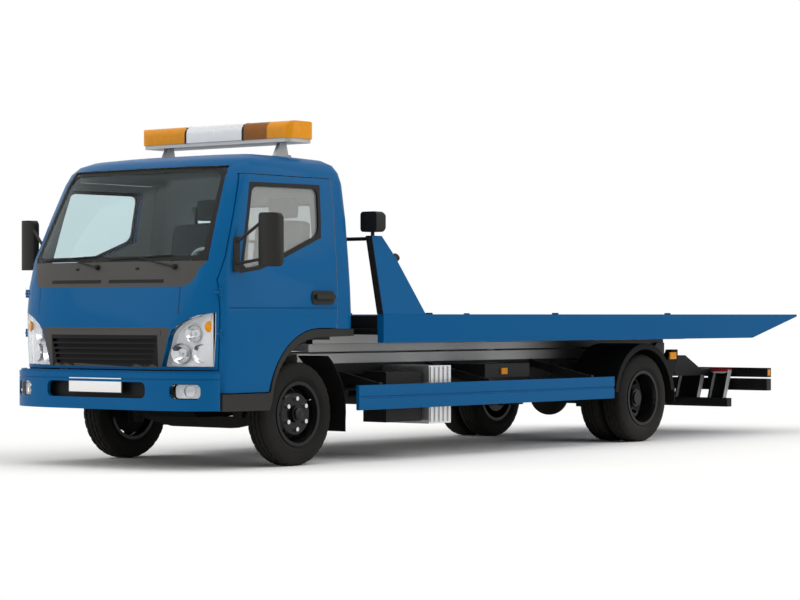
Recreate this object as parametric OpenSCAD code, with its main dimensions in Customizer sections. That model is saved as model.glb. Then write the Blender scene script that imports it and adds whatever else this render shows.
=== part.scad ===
// Slide-bed recovery truck: cab-over chassis, tilting and sliding bed, rear wheel lift.
// X forward, Y left, Z up; origin on the ground at mid-length.

/* [Overall] */
// distance between the axles
wheelbase = 4470; // [4000:10:5000]
// front axle to the bumper's face
front_overhang = 1145; // [1100:5:1200]
// rear axle to the tip of the bed
rear_overhang = 2440; // [2300:10:2700]

/* [Cab] */
// widest part of the cab, at the belt line
cab_w = 1994; // [1900:2:2100]
// top of the roof above the ground
cab_h = 2258; // [2200:2:2350]
// thickness of cab walls and doors
cab_wall = 50; // [40:1:60]
// gap round a door
door_gap = 6; // [5.5:0.5:10]
// thickness of the glass
glass_t = 6; // [4:0.5:8]

/* [Bed] */
// width over the side rails
bed_w = 2240; // [2100:10:2400]
// deck level above the ground
bed_top = 1098; // [1080:1:1140]
// depth of the side rails
bed_side_h = 213; // [180:1:220]
// headboard above the deck
headboard_h = 586; // [500:2:700]
// length of the tapered tail
tail_len = 810; // [600:10:900]

/* [Chassis] */
// width over the frame rails
frame_w = 850; // [820:2:880]
// depth of a frame rail
rail_h = 190; // [160:2:210]
// top of the frame rails
rail_top = 720; // [710:1:724]
// depth of the fixed subframe
sub_h = 78; // [70:1:80]
// depth of the tilting frame
tilt_h = 60; // [50:1:62]

/* [Wheels] */
// outer diameter of a tyre
tyre_d = 753; // [730:1:770]
// width of a tyre
tyre_w = 205; // [195:1:215]
// diameter of the rim at the tyre's bead
rim_d = 445; // [430:1:460]
// distance between the front tyres' centres
front_track = 1665; // [1640:5:1690]
// distance between the centres of two twin tyres
twin_pitch = 235; // [230:1:245]
// outer face of the outer rear tyre from the centre line
rear_face = 1000; // [980:5:1020]

/* [Joints] */
// radial play of a pin in its bore
pin_play = 0.4; // [0.3:0.1:0.8]
// radius of the bed's pivot shaft
pivot_r = 25; // [20:1:30]
// radius of a lift cylinder
ram_r = 45; // [38:1:50]

/* [Hidden] */
$fn = 40;
overall = front_overhang + wheelbase + rear_overhang;
fax = overall / 2 - front_overhang;
wheel_r = tyre_d / 2;
cab_hw = cab_w / 2;
bed_hw = bed_w / 2;
frame_hw = frame_w / 2;
rear_x = -wheelbase;
tail_x = -wheelbase - rear_overhang;
rail_bot = rail_top - rail_h;
sub_top = rail_top + sub_h;
tilt_bot = sub_top + 12;
tilt_top = tilt_bot + tilt_h;
bed_bot = bed_top - bed_side_h;
// deck, a little below the rails' top
deck_z = bed_top - 6;
// cab
cab_back_x = -545;
door_x0 = 886;
door_x1 = -351;
cab_bot = 540;
cab_front_bot = 708;
cowl_z0 = 1290;
// level of the belt, and the height above it for which the levels of the glazed part are given
belt_z = 1300;
glazed_h = 958;
function up(z) = belt_z + (z - belt_z) * (cab_h - belt_z) / glazed_h;
cowl_z1 = up(1470);
roof_z = cab_h - 163;
screen_top = cab_h - 103;
lamp_x = door_x0 + 20;
cab_low_z = 992;
cab_tilt_x = 980;
cab_tilt_z = 700;
// steering and hubs
king_y = front_track / 2 - 130;
rear_in = rear_face - tyre_w - twin_pitch;
// side guards, and the faces of the tanks and boxes behind them
guard_y = bed_hw - 70;
tank_y = guard_y - 160;
box_y = guard_y - 190;
// bed
head_x0 = -736;
head_x1 = -1250;
kink_x = tail_x + tail_len;
pivot_x = tail_x + 1310;
pivot_z = rail_top + 70;
bearer_y = frame_hw - 70;
run_y = frame_hw - 6;
hinge_y = cab_hw - 23;
hinge_z = [930, 1220];
ram_y = frame_hw - 175;
ram_base = [-2200, 450];
ram_eye = [-3200, tilt_bot - 30];
ram_ang = atan2(ram_eye[1] - ram_base[1], ram_base[0] - ram_eye[0]);
ram_len = norm(ram_eye - ram_base);
// end of the frame, lamp board and wheel lift
frame_end = tail_x + 580;
board_x = tail_x + 270;
lift_x = tail_x + 860;
lift_z = 480;
lift_hl = 702;
// front face of the lift's crossbar
bar_in = lift_x - 295;

BLUE = [0.0, 0.36, 0.59];
BLACK = [0.07, 0.07, 0.08];
GREY = [0.25, 0.25, 0.27];
SILVER = [0.7, 0.71, 0.72];
GLASS = [0.6, 0.75, 0.8];
AMBER = [0.95, 0.5, 0.05];

// helpers
module fa() { translate([fax, 0, 0]) children(); }
module both() { children(); mirror([0, 1, 0]) children(); }
module box(x0, x1, y0, y1, z0, z1) {
    translate([min(x0, x1), min(y0, y1), min(z0, z1)])
        cube([abs(x1 - x0), abs(y1 - y0), abs(z1 - z0)]);
}
// outline in x and z, given thickness from y0 to y1
module side(y0, y1) {
    translate([0, max(y0, y1), 0]) rotate([90, 0, 0]) linear_extrude(abs(y1 - y0)) children();
}
// outline in y and z, given thickness from x0 to x1
module front(x0, x1) {
    translate([min(x0, x1), 0, 0]) rotate([90, 0, 90]) linear_extrude(abs(x1 - x0)) children();
}
module ycyl(x, z, r, y0, y1) {
    translate([x, max(y0, y1), z]) rotate([90, 0, 0]) cylinder(r = r, h = abs(y1 - y0));
}
module xcyl(y, z, r, x0, x1) {
    translate([min(x0, x1), y, z]) rotate([0, 90, 0]) cylinder(r = r, h = abs(x1 - x0));
}
module zcyl(x, y, r, z0, z1) { translate([x, y, z0]) cylinder(r = r, h = z1 - z0); }
function arc(cx, cy, rx, ry, a0, a1, n) =
    [for (i = [0:n]) let (a = a0 + (a1 - a0) * i / n) [cx + rx * cos(a), cy + ry * sin(a)]];

// rectangle with rounded corners
function rrect(x0, x1, y0, y1, r, n = 5) = concat(
    arc(x1 - r, y1 - r, r, r, 0, 90, n), arc(x0 + r, y1 - r, r, r, 90, 180, n),
    arc(x0 + r, y0 + r, r, r, 180, 270, n), arc(x1 - r, y0 + r, r, r, 270, 360, n));

// cab body: level, front, back, inset from the widest, corner depth, corner breadth, back corner
CAB = [[cab_bot, 1040, 0, 20, 250, 680, 60],
    [700, 1062, 0, 13, 255, 690, 60],
    [950, 1075, 0, 5, 260, 700, 62],
    [1120, 1072, 0, 0, 260, 700, 62],
    [belt_z, 1052, 0, 7, 250, 700, 65],
    [up(1500), 1000, 0, 22, 235, 690, 68],
    [up(1800), 855, 0, 49, 220, 670, 72],
    [cab_h - 198, 725, 3, 82, 205, 640, 80],
    [cab_h - 118, 675, 13, 102, 200, 620, 90],
    [cab_h - 63, 610, 33, 135, 190, 590, 100],
    [cab_h - 26, 500, 85, 197, 170, 540, 110],
    [cab_h, 300, 215, 357, 120, 420, 120]];
NF = 9;
NR = 3;
RING = 2 * (NF + NR + 2);
// one level of the cab as a ring of points, moved inward by t
function ring(r, t, z) =
    let (xf = r[1] - t, xb = cab_back_x + r[2] + t, hw = cab_hw - r[3] - t,
        fx = r[4] - t, fy = r[5] - t, rb = r[6] - t)
    let (h = concat(arc(xf - fx, hw - fy, fx, fy, 0, 90, NF),
            arc(xb + rb, hw - rb, rb, rb, 90, 180, NR)),
        m = [for (i = [len(h) - 1:-1:0]) [h[i][0], -h[i][1]]])
    [for (p = concat(h, m)) [p[0], p[1], z]];
module cab_body(t) {
    last = len(CAB) - 1;
    pts = [for (k = [0:last]) let (r = CAB[k])
        each ring(r, t, k == 0 && t > 0 ? r[0] - 60 : r[0] - (k > 7 ? t : k > 6 ? t / 2 : 0))];
    polyhedron(pts, concat([[for (i = [0:RING - 1]) i]],
        [for (k = [0:last - 1]) for (i = [0:RING - 1]) let (j = (i + 1) % RING)
            each [[k * RING + i, (k + 1) * RING + i, (k + 1) * RING + j],
                [k * RING + i, (k + 1) * RING + j, k * RING + j]]],
        [[for (i = [RING - 1:-1:0]) last * RING + i]]));
}
module cab_shell(t0 = 0, t1 = cab_wall) { difference() { cab_body(t0); cab_body(t1); } }

// wheel arch in the cab's side: edge of the flare and edge of the door
function arch_in(g, a0, a1, n) = arc(-165, 460, 522 - g, 470 - g, a0, a1, n);
function arch_out(g, a0, a1, n) = arc(-150, 457, 535 + g, 535 + g, a0, a1, n);
function door_pts(g) = concat(
    [[door_x0 - g, cab_bot + g], [door_x0 - g, up(1335)], [578 - g, roof_z - g], [-375 + g, roof_z - g],
        [door_x1 + g, cab_low_z + g], [-200, cab_low_z + g]],
    arch_out(g, 89, 10, 10), [[390 + g, cab_bot + g]]);
WINDOW = [[522, roof_z - 63], [-235, roof_z - 57], [-202, up(1657)], [200, up(1510)], [485, up(1415)],
    [700, up(1387)]];
// side of the cab at level z
function side_y(z) = cab_hw - lookup(z, [for (r = CAB) [r[0], r[3]]]);
// black panel round the windscreen, as seen from the front
function screen_half(g) = concat(arc(700, cowl_z0 + 110 + g, 110 - g, 110, -90, 0, 6),
    [[868 - g, up(1480)], [785 - g, roof_z], [777 - g, screen_top - g]]);
function screen_pts(g) = let (h = screen_half(g))
    concat(h, [for (i = [len(h) - 1:-1:0]) [-h[i][0], h[i][1]]]);
GRILLE = [[-556, 726], [556, 726], [640, 1004], [-640, 1004]];
LAMP = [[562, 732], [1010, 732], [1010, 1106], [930, 1108], [850, 1094], [770, 1066], [700, 1028],
    [650, 984], [624, 930]];

module chassis_frame() color(BLACK) fa() {
    rail = [[930, rail_bot + 40], [930, rail_top], [frame_end + 270, rail_top],
        [frame_end, rail_bot + 60], [frame_end, rail_bot], [780, rail_bot]];
    inner = [[922, rail_bot + 44], [922, rail_top - 8], [frame_end + 274, rail_top - 8],
        [frame_end + 8, rail_bot + 56], [frame_end + 8, rail_bot + 8], [784, rail_bot + 8]];
    both() {
        difference() {
            side(frame_hw - 62, frame_hw) polygon(rail);
            side(frame_hw - 63, frame_hw - 8) polygon(inner);
        }
        // horns for the bumper and the cab's pivot
        box(900, 1060, frame_hw - 62, frame_hw - 21, rail_bot, rail_bot + 48);
        side(frame_hw - 20, frame_hw - 4) polygon(concat([[1000, rail_bot + 20], [860, rail_bot + 20],
            [860, rail_top - 2], [cab_tilt_x - 20, rail_top - 2]],
            arc(cab_tilt_x, cab_tilt_z, 27, 27, 90, -60, 6), [[1000, 640]]));
        // seats of the lift cylinders
        box(ram_base[0] - 60, ram_base[0] + 60, frame_hw - 62, frame_hw - 42, ram_base[1] - 34, rail_bot + 4);
        // lugs of the wheel lift
        side(70, 90) polygon([[lift_x - 50, rail_top - 100], [lift_x + 50, rail_top - 100],
            [lift_x + 40, lift_z - 40], [lift_x - 40, lift_z - 40]]);
    }
    for (x = [840, 640, -1300, -1900, -3420, rear_x + 570, rear_x - 570, lift_x + 250, lift_x])
        box(x - 40, x + 40, -(frame_hw - 7), frame_hw - 7, rail_top - 120, rail_top - 7);
    box(frame_end + 2, frame_end + 60, -(frame_hw - 7), frame_hw - 7, rail_bot + 5, rail_bot + 55);
    ycyl(cab_tilt_x, cab_tilt_z, 18, -(frame_hw - 10), frame_hw - 10);
    ycyl(ram_base[0], ram_base[1], 20, -(frame_hw - 50), frame_hw - 50);
    ycyl(lift_x, lift_z, 25, -90, 90);
}

module subframe() color(SILVER) fa() {
    both() {
        box(-560, pivot_x + 110, bearer_y, frame_hw, rail_top, sub_top);
        // plates that carry the pivot shaft
        side(frame_hw, frame_hw + 24) polygon([[pivot_x + 190, rail_top - 60], [pivot_x + 190, rail_top + 30],
            [pivot_x + 60, pivot_z + 50], [pivot_x - 60, pivot_z + 50], [pivot_x - 60, rail_top - 60]]);
    }
    for (x = [-620, -2000, -4200]) box(x - 30, x + 30, -bearer_y, bearer_y, rail_top, sub_top - 14);
    ycyl(pivot_x, pivot_z, pivot_r, -(frame_hw + 10), frame_hw + 10);
}

module leaf_spring(x, z, len, y, n) {
    for (i = [0:n - 1]) let (l = len * (1 - i * 0.2), R = 4200)
        translate([x, y + 35, z - i * 12]) rotate([90, 0, 0]) linear_extrude(70)
            polygon(concat(arc(0, R, R, R, -90 - l / 2 / R * 57.3, -90 + l / 2 / R * 57.3, 10),
                arc(0, R, R - 12, R - 12, -90 + l / 2 / R * 57.3, -90 - l / 2 / R * 57.3, 10)));
}
module hanger(x, y, z) {
    side(y - 30, y + 30)
        polygon([[x - 60, rail_bot], [x + 60, rail_bot], [x + 26, z - 26], [x - 26, z - 26]]);
}
spring_y = frame_hw - 35;
module front_axle() color(GREY) fa() {
    z0 = wheel_r - 60;
    // forged beam with dropped middle
    front(-45, 45) polygon([[-king_y + 48, z0 + 105], [-king_y + 48, z0 + 15], [-540, z0 - 15],
        [-300, z0 - 60], [300, z0 - 60], [540, z0 - 15], [king_y - 48, z0 + 15], [king_y - 48, z0 + 105],
        [540, z0 + 65], [300, z0 + 25], [-300, z0 + 25], [-540, z0 + 65]]);
    both() {
        // eye for the king pin
        difference() {
            translate([0, king_y, z0 + 15]) cylinder(r = 50, h = 90);
            translate([0, king_y, z0]) cylinder(r = 20 + pin_play, h = 120);
        }
        leaf_spring(0, z0 + 90, 1240, spring_y, 3);
        box(-70, 70, spring_y - 45, spring_y + 45, z0 + 20, z0 + 108);
        for (s = [-1, 1]) hanger(s * 600, spring_y, z0 + 150);
    }
}
module rear_axle() color(GREY) fa() translate([rear_x, 0, 0]) {
    ycyl(0, wheel_r, 62, -(rear_in - 20), rear_in - 20);
    // final drive housing
    difference() {
        translate([0, 0, wheel_r]) sphere(r = 170);
        box(-200, 200, -200, 200, wheel_r + 140, wheel_r + 200);
    }
    both() {
        ycyl(0, wheel_r, 100, rear_in - 45, rear_in - 20);
        ycyl(0, wheel_r, 40, rear_in - 30, rear_c + 100);
        leaf_spring(0, wheel_r + 87, 1320, spring_y - 5, 4);
        box(-80, 80, spring_y - 48, spring_y + 30, wheel_r - 85, wheel_r + 108);
        for (s = [-1, 1]) hanger(s * 640, spring_y - 5, wheel_r + 141);
    }
}

shaft_z = 530;
module powertrain() color(GREY) fa() {
    box(560, -300, -330, 330, 560, 900);
    box(500, -200, -210, 210, 430, 570);
    box(-290, -560, -260, 260, 470, 860);
    front(-1120, -550) polygon([[-130, 470], [130, 470], [110, 700], [-110, 700]]);
    both() box(260, 340, 320, frame_hw - 8, 600, 660);
    // propeller shaft in two lengths
    xcyl(0, shaft_z, 45, -1110, -2700);
    xcyl(0, shaft_z, 68, -2620, -2700);
    box(-1920, -1880, -60, 60, shaft_z - 20, rail_top - 120);
    dx = wheelbase - 2690 - 170.2;
    dz = shaft_z - wheel_r - 10;
    translate([-2690, 0, shaft_z]) rotate([0, -90 - atan(dz / dx), 0]) cylinder(r = 40, h = norm([dx, dz]));
}

module tanks() color(SILVER) fa() {
    // oil tank, left, with pressed ribs
    box(-1580, -1860, frame_hw, tank_y, 250, 700);
    for (i = [0:4]) box(-1590 - i * 56, -1620 - i * 56, tank_y, tank_y + 12, 265, 690);
    // fuel tank, right
    mirror([0, 1, 0]) {
        box(-1420, -2120, frame_hw, tank_y - 10, 300, 690);
        zcyl(-1640, (frame_hw + tank_y) / 2, 45, 685, 705);
    }
}

stay_x = [-790, -2165, rear_x + 870];
module chassis_fittings() color(BLACK) fa() {
    // battery box and tool box, left
    box(-1100, -1540, frame_hw + 200, box_y - 10, 275, 660);
    for (x = [-1150, -1450]) box(x - 25, x + 25, frame_hw, frame_hw + 210, 560, 640);
    box(-2350, -2960, frame_hw, box_y, 590, 700);
    // tool box, right
    mirror([0, 1, 0]) box(-2540, rear_x + 970, frame_hw, box_y, 340, 690);
    // silencer, right
    mirror([0, 1, 0]) xcyl(560, 480, 120, -740, -1380);
    mirror([0, 1, 0]) box(-1000, -1060, frame_hw, 560, 570, 640);
    // arms of the side guards
    both() for (x = stay_x) {
        front(x - 20, x + 20) polygon([[frame_hw, rail_bot + 130], [frame_hw, rail_bot + 190],
            [guard_y - 40, 590], [guard_y - 40, 520]]);
        box(x - 20, x + 20, guard_y - 40, guard_y, 400, 590);
    }
}

module side_guards() color(BLUE) fa() both() difference() {
    box(-500, rear_x + 580, guard_y, guard_y + 30, 390, 574);
    box(-520, rear_x + 550, guard_y + 22, guard_y + 40, 474, 490);
}

module bumper_outline(t) {
    h = concat(arc(1145 - 240, 985 - 620, 240 - t, 620 - t, 0, 90, 12), [[890, 985 - t]]);
    polygon(concat(h, [for (i = [len(h) - 1:-1:0]) [h[i][0], -h[i][1]]]));
}
// depth of the bumper's wall, clear of the tilting cab
bumper_t = 30;
FOG = rrect(692, 908, 506, 612, 36);
module front_bumper() color(BLUE) fa() {
    difference() {
        union() {
            translate([0, 0, 425]) linear_extrude(262) bumper_outline(0);
            translate([0, 0, 687]) linear_extrude(14) bumper_outline(14);
        }
        translate([0, 0, 400]) linear_extrude(320) bumper_outline(bumper_t);
        box(500, 904, -1100, 1100, 400, 720);
        // air opening and fog lamp seats
        front(1060, 1200) polygon(rrect(-490, 490, 508, 622, 40));
        both() front(600, 1300) polygon(FOG);
        // line along the face
        translate([0, 0, 640]) linear_extrude(7) difference() { bumper_outline(-5); bumper_outline(5); }
    }
    // brackets on the frame's horns
    both() {
        box(1010, 1060, frame_hw - 62, frame_hw - 21, 455, rail_bot - 0.3);
        box(1050, 1125, frame_hw - 62, frame_hw - 21, 455, 500);
    }
}
module chassis_lamps() color(AMBER) fa() {
    both() {
        intersection() {
            front(600, 1300) polygon(FOG);
            translate([0, 0, 400]) linear_extrude(320) difference() { bumper_outline(8); bumper_outline(50); }
        }
        // side markers
        box(-2560, -2640, box_y, box_y + 12, 615, 665);
        box(rear_x - 400, rear_x - 500, rear_face, rear_face + 12, 706, 766);
        // tail lamps and end markers
        box(board_x, board_x - 14, 640, 980, 520, 596);
        box(board_x + 30, board_x + 70, 1000, 1008, 530, 585);
    }
}

guard_r = wheel_r + 95;
// outer edge of the front mudguards, inside the side guards
flap_y = guard_y - 120;
module mudguards() color(BLACK) fa() {
    both() {
        // behind the front wheels, with flaps
        side(640, flap_y) polygon(concat(arc(0, wheel_r, 528, 528, 128, 186, 10),
            arc(0, wheel_r, 520, 520, 186, 128, 10)));
        box(-516, -524, 640, flap_y, 230, wheel_r - 20);
        box(-480, -520, frame_hw, 650, rail_bot + 20, rail_bot + 32);
        // over the rear wheels
        translate([rear_x, 0, 0]) {
            side(rear_in - 15, rear_face + 12) polygon(concat(
                arc(0, wheel_r, guard_r, guard_r, 8, 172, 18),
                arc(0, wheel_r, guard_r - 8, guard_r - 8, 172, 8, 18)));
            side(rear_face + 4, rear_face + 12) polygon(concat(
                arc(0, wheel_r, guard_r - 8, guard_r - 8, 8, 172, 18),
                arc(0, wheel_r, guard_r - 50, guard_r - 50, 172, 8, 18)));
            box(-guard_r - 4, -guard_r + 4, rear_in - 15, rear_face + 12, 330, wheel_r + 80);
            side(rear_face - 60, rear_face) polygon([[-360, wheel_r + 300], [-440, wheel_r + 165],
                [-540, 700], [-540, 790], [-440, 790]]);
            for (x = [330, -330]) box(x - 20, x + 20, frame_hw, rear_in + 40, wheel_r + 325, wheel_r + 340);
        }
    }
}

module underrun_bar() color(GREY) fa() {
    box(board_x + 80, board_x, -1000, 1000, 390, 500);
    box(board_x + 70, board_x, -1000, 1000, 514, 600);
    both() {
        box(board_x + 40, board_x, frame_hw + 75, frame_hw + 135, 498, 516);
        box(frame_end, board_x + 70, frame_hw - 62, frame_hw, rail_bot + 2, rail_bot + 58);
        box(board_x + 80, board_x + 40, frame_hw - 62, frame_hw, 500, rail_bot + 2);
    }
}

eye_y = frame_hw - 125;
module tow_eyes() color(GREY) fa() {
    // tongues on the first cross-member
    both() difference() {
        union() {
            box(880.3, 1005, eye_y - 38, eye_y + 38, rail_bot + 55, rail_bot + 95);
            zcyl(1005, eye_y, 38, rail_bot + 55, rail_bot + 95);
        }
        zcyl(1005, eye_y, 20, rail_bot, rail_top);
    }
}

module cab_floor() color(GREY) fa() {
    // floor and seat base
    box(850, -400, -880, 880, 910, 945);
    box(120, cab_back_x + cab_wall, -860, 860, 945, 1120);
    // front sill with its two pivot eyes
    box(820, 990, -(frame_hw - 30), frame_hw - 30, 727, 780);
    box(820, 850, -560, 560, 780, 910);
    both() difference() {
        union() {
            ycyl(cab_tilt_x, cab_tilt_z, 30, 290, 340);
            box(cab_tilt_x - 30, cab_tilt_x + 24, 290, 340, cab_tilt_z, 740);
        }
        ycyl(cab_tilt_x, cab_tilt_z, 18 + pin_play, 280, 350);
    }
}
module cab_roof() color(BLUE) fa() difference() {
    intersection() {
        cab_shell();
        box(-700, 1200, -1200, 1200, roof_z, cab_h + 10);
    }
    front(500, 1300) polygon(screen_pts(0));
}
module cab_back() color(BLUE) fa() difference() {
    intersection() {
        cab_shell();
        box(-700, door_x1, -1200, 1200, cab_low_z, roof_z);
    }
    side(-1200, 1200) polygon([[door_x1, cab_low_z - 1], [door_x1 + 30, roof_z + 1], [-375, roof_z + 1]]);
    front(-700, -300) polygon(REAR_WINDOW);
}
module cab_front() color(BLUE) fa() {
    cab_front_panel();
    both() for (z = hinge_z) {
        hinge_tab(z + 20, z + 40, 19);
        zcyl(door_x0, hinge_y, 6, z, z + 60);
    }
}
module cab_front_panel() difference() {
    intersection() {
        cab_shell();
        side(-1200, 1200) polygon([[1200, cab_front_bot], [1200, roof_z], [580, roof_z],
            [door_x0 + 2, up(1336)],
            [door_x0 + 2, cab_front_bot]]);
    }
    front(500, 1300) polygon(screen_pts(0));
    front(900, 1300) polygon(GRILLE);
    both() front(lamp_x, 1300) polygon(LAMP);
}
module hinge_tab(z0, z1, dx) {
    zcyl(door_x0, hinge_y, 11, z0, z1);
    box(door_x0, door_x0 + dx, hinge_y - 44, hinge_y, z0, z1);
}
module front_trim() color(BLACK) fa() intersection() {
    cab_shell(0, 42);
    union() {
        // panel below the windscreen
        front(500, 1300) intersection() {
            polygon(screen_pts(0));
            translate([-1000, cowl_z0]) square([2000, cowl_z1 - cowl_z0]);
        }
        // grille
        difference() {
            front(900, 1300) polygon(GRILLE);
            for (i = [0:4]) front(1034, 1300)
                translate([-480 - i * 10, 748 + i * 38]) square([960 + i * 20, 24]);
        }
    }
}
REAR_WINDOW = [[-640, up(1480)], [640, up(1480)], [600, up(1930)], [-600, up(1930)]];
module cab_glass() color(GLASS) fa() intersection() {
    cab_shell(12, 12 + glass_t);
    union() {
        front(500, 1300) intersection() {
            polygon(screen_pts(0));
            translate([-1000, cowl_z1]) square([2000, screen_top - cowl_z1 + 10]);
        }
        front(-700, -300) polygon(REAR_WINDOW);
    }
}
module headlamps() color(GLASS) fa() intersection() {
    cab_shell(3, 48);
    both() front(lamp_x, 1300) polygon(LAMP);
}
module arch_flares() color(GREY) fa() both() {
    side(938, cab_hw - 8) polygon(concat([[-545, cab_low_z - 2], [-150, cab_low_z - 2]],
        arch_out(-2, 88, 10, 10),
        [[388, cab_bot - 2], [door_x0 - 4, cab_bot - 2], [door_x0 - 4, 420], [384, 415]],
        arch_in(0, 4, 90, 10), [[-545, 938]]));
    // carriers under the floor
    box(420, 820, 870, 940, 515, 535);
    box(700, 800, 820, 880, 515, 910);
}
module dashboard() color(GREY) fa() {
    side(-860, 860) polygon([[860, 945], [860, 1330], [640, 1430], [480, 1400], [470, 1280], [600, 1200],
        [640, 945]]);
    // steering column and wheel, left-hand drive
    translate([480, 430, 1290]) rotate([0, -48, 0]) {
        cylinder(r = 28, h = 190);
        translate([0, 0, 190]) {
            rotate_extrude() translate([200, 0]) circle(r = 15);
            cylinder(r = 60, h = 24);
            for (a = [0, 120, 240]) rotate(a) translate([40, -18, -6]) cube([160, 36, 14]);
        }
    }
}
module seats() color(GREY) fa() for (s = [[430, 500], [-300, 760]]) {
    box(90, -400, s[0] - s[1] / 2, s[0] + s[1] / 2, 1120, 1260);
    side(s[0] - s[1] / 2, s[0] + s[1] / 2) polygon([[-250, 1260], [-380, 1260], [-440, up(1800)],
        [-330, up(1800)]]);
    box(-350, -430, s[0] - 130, s[0] + 130, up(1810), up(1980));
    box(-385, -400, s[0] - 20, s[0] + 20, up(1800), up(1810));
}

bar_x = -235;
bar_z = cab_h + 132;
bar_hl = 760;
// ends of the clear middle of the light bar, and the joint in its left lens
bar_mid = [-280, 300];
bar_joint = 540;
bar_gap = 0.3;
module bar_cover(y0, y1) intersection() {
    side(y0, y1) polygon(concat(arc(bar_x + 90, bar_z + 66, 60, 62, 0, 90, 5),
        arc(bar_x - 90, bar_z + 66, 60, 62, 90, 180, 5), [[bar_x - 150, bar_z], [bar_x + 150, bar_z]]));
    translate([0, 0, bar_z]) linear_extrude(130)
        polygon(rrect(bar_x - 150, bar_x + 150, -bar_hl, bar_hl, 70));
}
module light_bar() color(SILVER) fa() {
    translate([0, 0, bar_z - 28]) linear_extrude(28)
        polygon(rrect(bar_x - 140, bar_x + 140, -bar_hl + 12, bar_hl - 12, 60));
    bar_cover(bar_mid[0], bar_mid[1]);
    box(bar_x - 100, bar_x + 100, bar_mid[0] + 20, bar_mid[1] - 20, bar_z - 10, bar_z + 10);
    both() {
        side(556, 590) polygon([[bar_x - 40, cab_h], [bar_x + 110, cab_h], [bar_x + 50, bar_z - 20],
            [bar_x - 10, bar_z - 20]]);
        box(bar_x - 50, bar_x + 120, 540, 606, cab_h, cab_h + 8);
    }
}
module light_bar_lenses() color(AMBER) fa() {
    bar_cover(bar_mid[1] + bar_gap, bar_joint);
    bar_cover(bar_joint + bar_gap, bar_hl);
    bar_cover(-bar_hl, bar_mid[0] - bar_gap);
}

module door() color(BLUE) difference() {
    union() {
        difference() {
            intersection() {
                cab_shell();
                side(700, 1200) polygon(door_pts(door_gap));
            }
            for (z = hinge_z) zcyl(door_x0, hinge_y, 18, z + 18, z + 42);
        }
        for (z = hinge_z) { hinge_tab(z, z + 18, -20); hinge_tab(z + 42, z + 60, -20); }
    }
    side(600, 1200) polygon(WINDOW);
    for (z = hinge_z) zcyl(door_x0, hinge_y, 6 + pin_play, z - 5, z + 65);
    // line pressed along the side
    box(door_x1 - 20, door_x0 - 60, side_y(1140) - 6, cab_hw + 10, 1136, 1148);
}
module door_glass() color(GLASS) intersection() {
    levels = [for (r = CAB) if (r[0] >= belt_z && r[0] < roof_z) r[0]];
    front(-600, 800) polygon(concat([for (z = levels) [side_y(z) - 15, z]],
        [for (k = [len(levels) - 1:-1:0]) [side_y(levels[k]) - 15 - glass_t, levels[k]]]));
    side(600, 1200) polygon(WINDOW);
}
// round bar between two points
module rod(p, q, r) {
    d = q - p;
    translate(p) rotate([0, acos(d[2] / norm(d)), atan2(d[1], d[0])]) cylinder(r = r, h = norm(d));
}
module door_trim() color(BLACK) {
    // mirror on its arms
    intersection() {
        side(900, 1200) polygon([[715, up(1392)], [772, up(1392)], [772, up(1440)], [735, up(1640)],
            [690, up(1640)]]);
        front(600, 900) polygon(concat([for (z = [belt_z, up(1500), up(1800)]) [side_y(z) + 0.3, z]],
            [for (z = [up(1800), up(1500), belt_z]) [side_y(z) + 16, z]]));
    }
    mirror_z = up(1430);
    mirror_h = 375;
    rod([745, side_y(up(1450)) + 6, up(1450)], [665, 1150, mirror_z + 50], 11);
    rod([720, side_y(up(1600)) + 9, up(1600)], [660, 1150, mirror_z + 310], 11);
    translate([645, 1215, mirror_z]) rotate(14) intersection() {
        front(-45, 45) polygon(rrect(-92, 92, 0, mirror_h, 40));
        linear_extrude(mirror_h) polygon(concat([[-35, -92]], arc(-15, 0, 58, 92, -90, 90, 8), [[-35, 92]]));
    }
    // handle in its surround
    intersection() {
        side(900, 1200) polygon(rrect(-312, -60, 1168, 1268, 36));
        front(-400, 0) polygon([for (p = [[1150, 0.5], [1150, 10], [1290, 10], [1290, 0.5]])
            [side_y(p[0]) + p[1], p[0]]]);
    }
    side(side_y(1200) + 4, side_y(1200) + 36) polygon(rrect(-296, -84, 1206, 1242, 14));
}
module door_left() fa() door();
module door_right() fa() mirror([0, 1, 0]) door();
module door_glass_left() fa() door_glass();
module door_glass_right() fa() mirror([0, 1, 0]) door_glass();
module door_trim_left() fa() door_trim();
module door_trim_right() fa() mirror([0, 1, 0]) door_trim();

module knuckle() color(GREY) {
    z0 = wheel_r - 60;
    // king pin with its upper and lower jaws
    zcyl(0, king_y, 20, z0 - 40, z0 + 160);
    zcyl(0, king_y, 46, z0 - 40, z0 + 13);
    zcyl(0, king_y, 46, z0 + 107, z0 + 160);
    box(-42, 42, king_y + 54, king_y + 80, z0 - 40, z0 + 160);
    box(-30, 30, king_y, king_y + 60, z0 - 40, z0 + 13);
    box(-30, 30, king_y, king_y + 60, z0 + 107, z0 + 160);
    ycyl(0, wheel_r, 34, king_y + 80, king_y + 185);
}
module knuckle_left() fa() knuckle();
module knuckle_right() fa() mirror([0, 1, 0]) knuckle();

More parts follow.
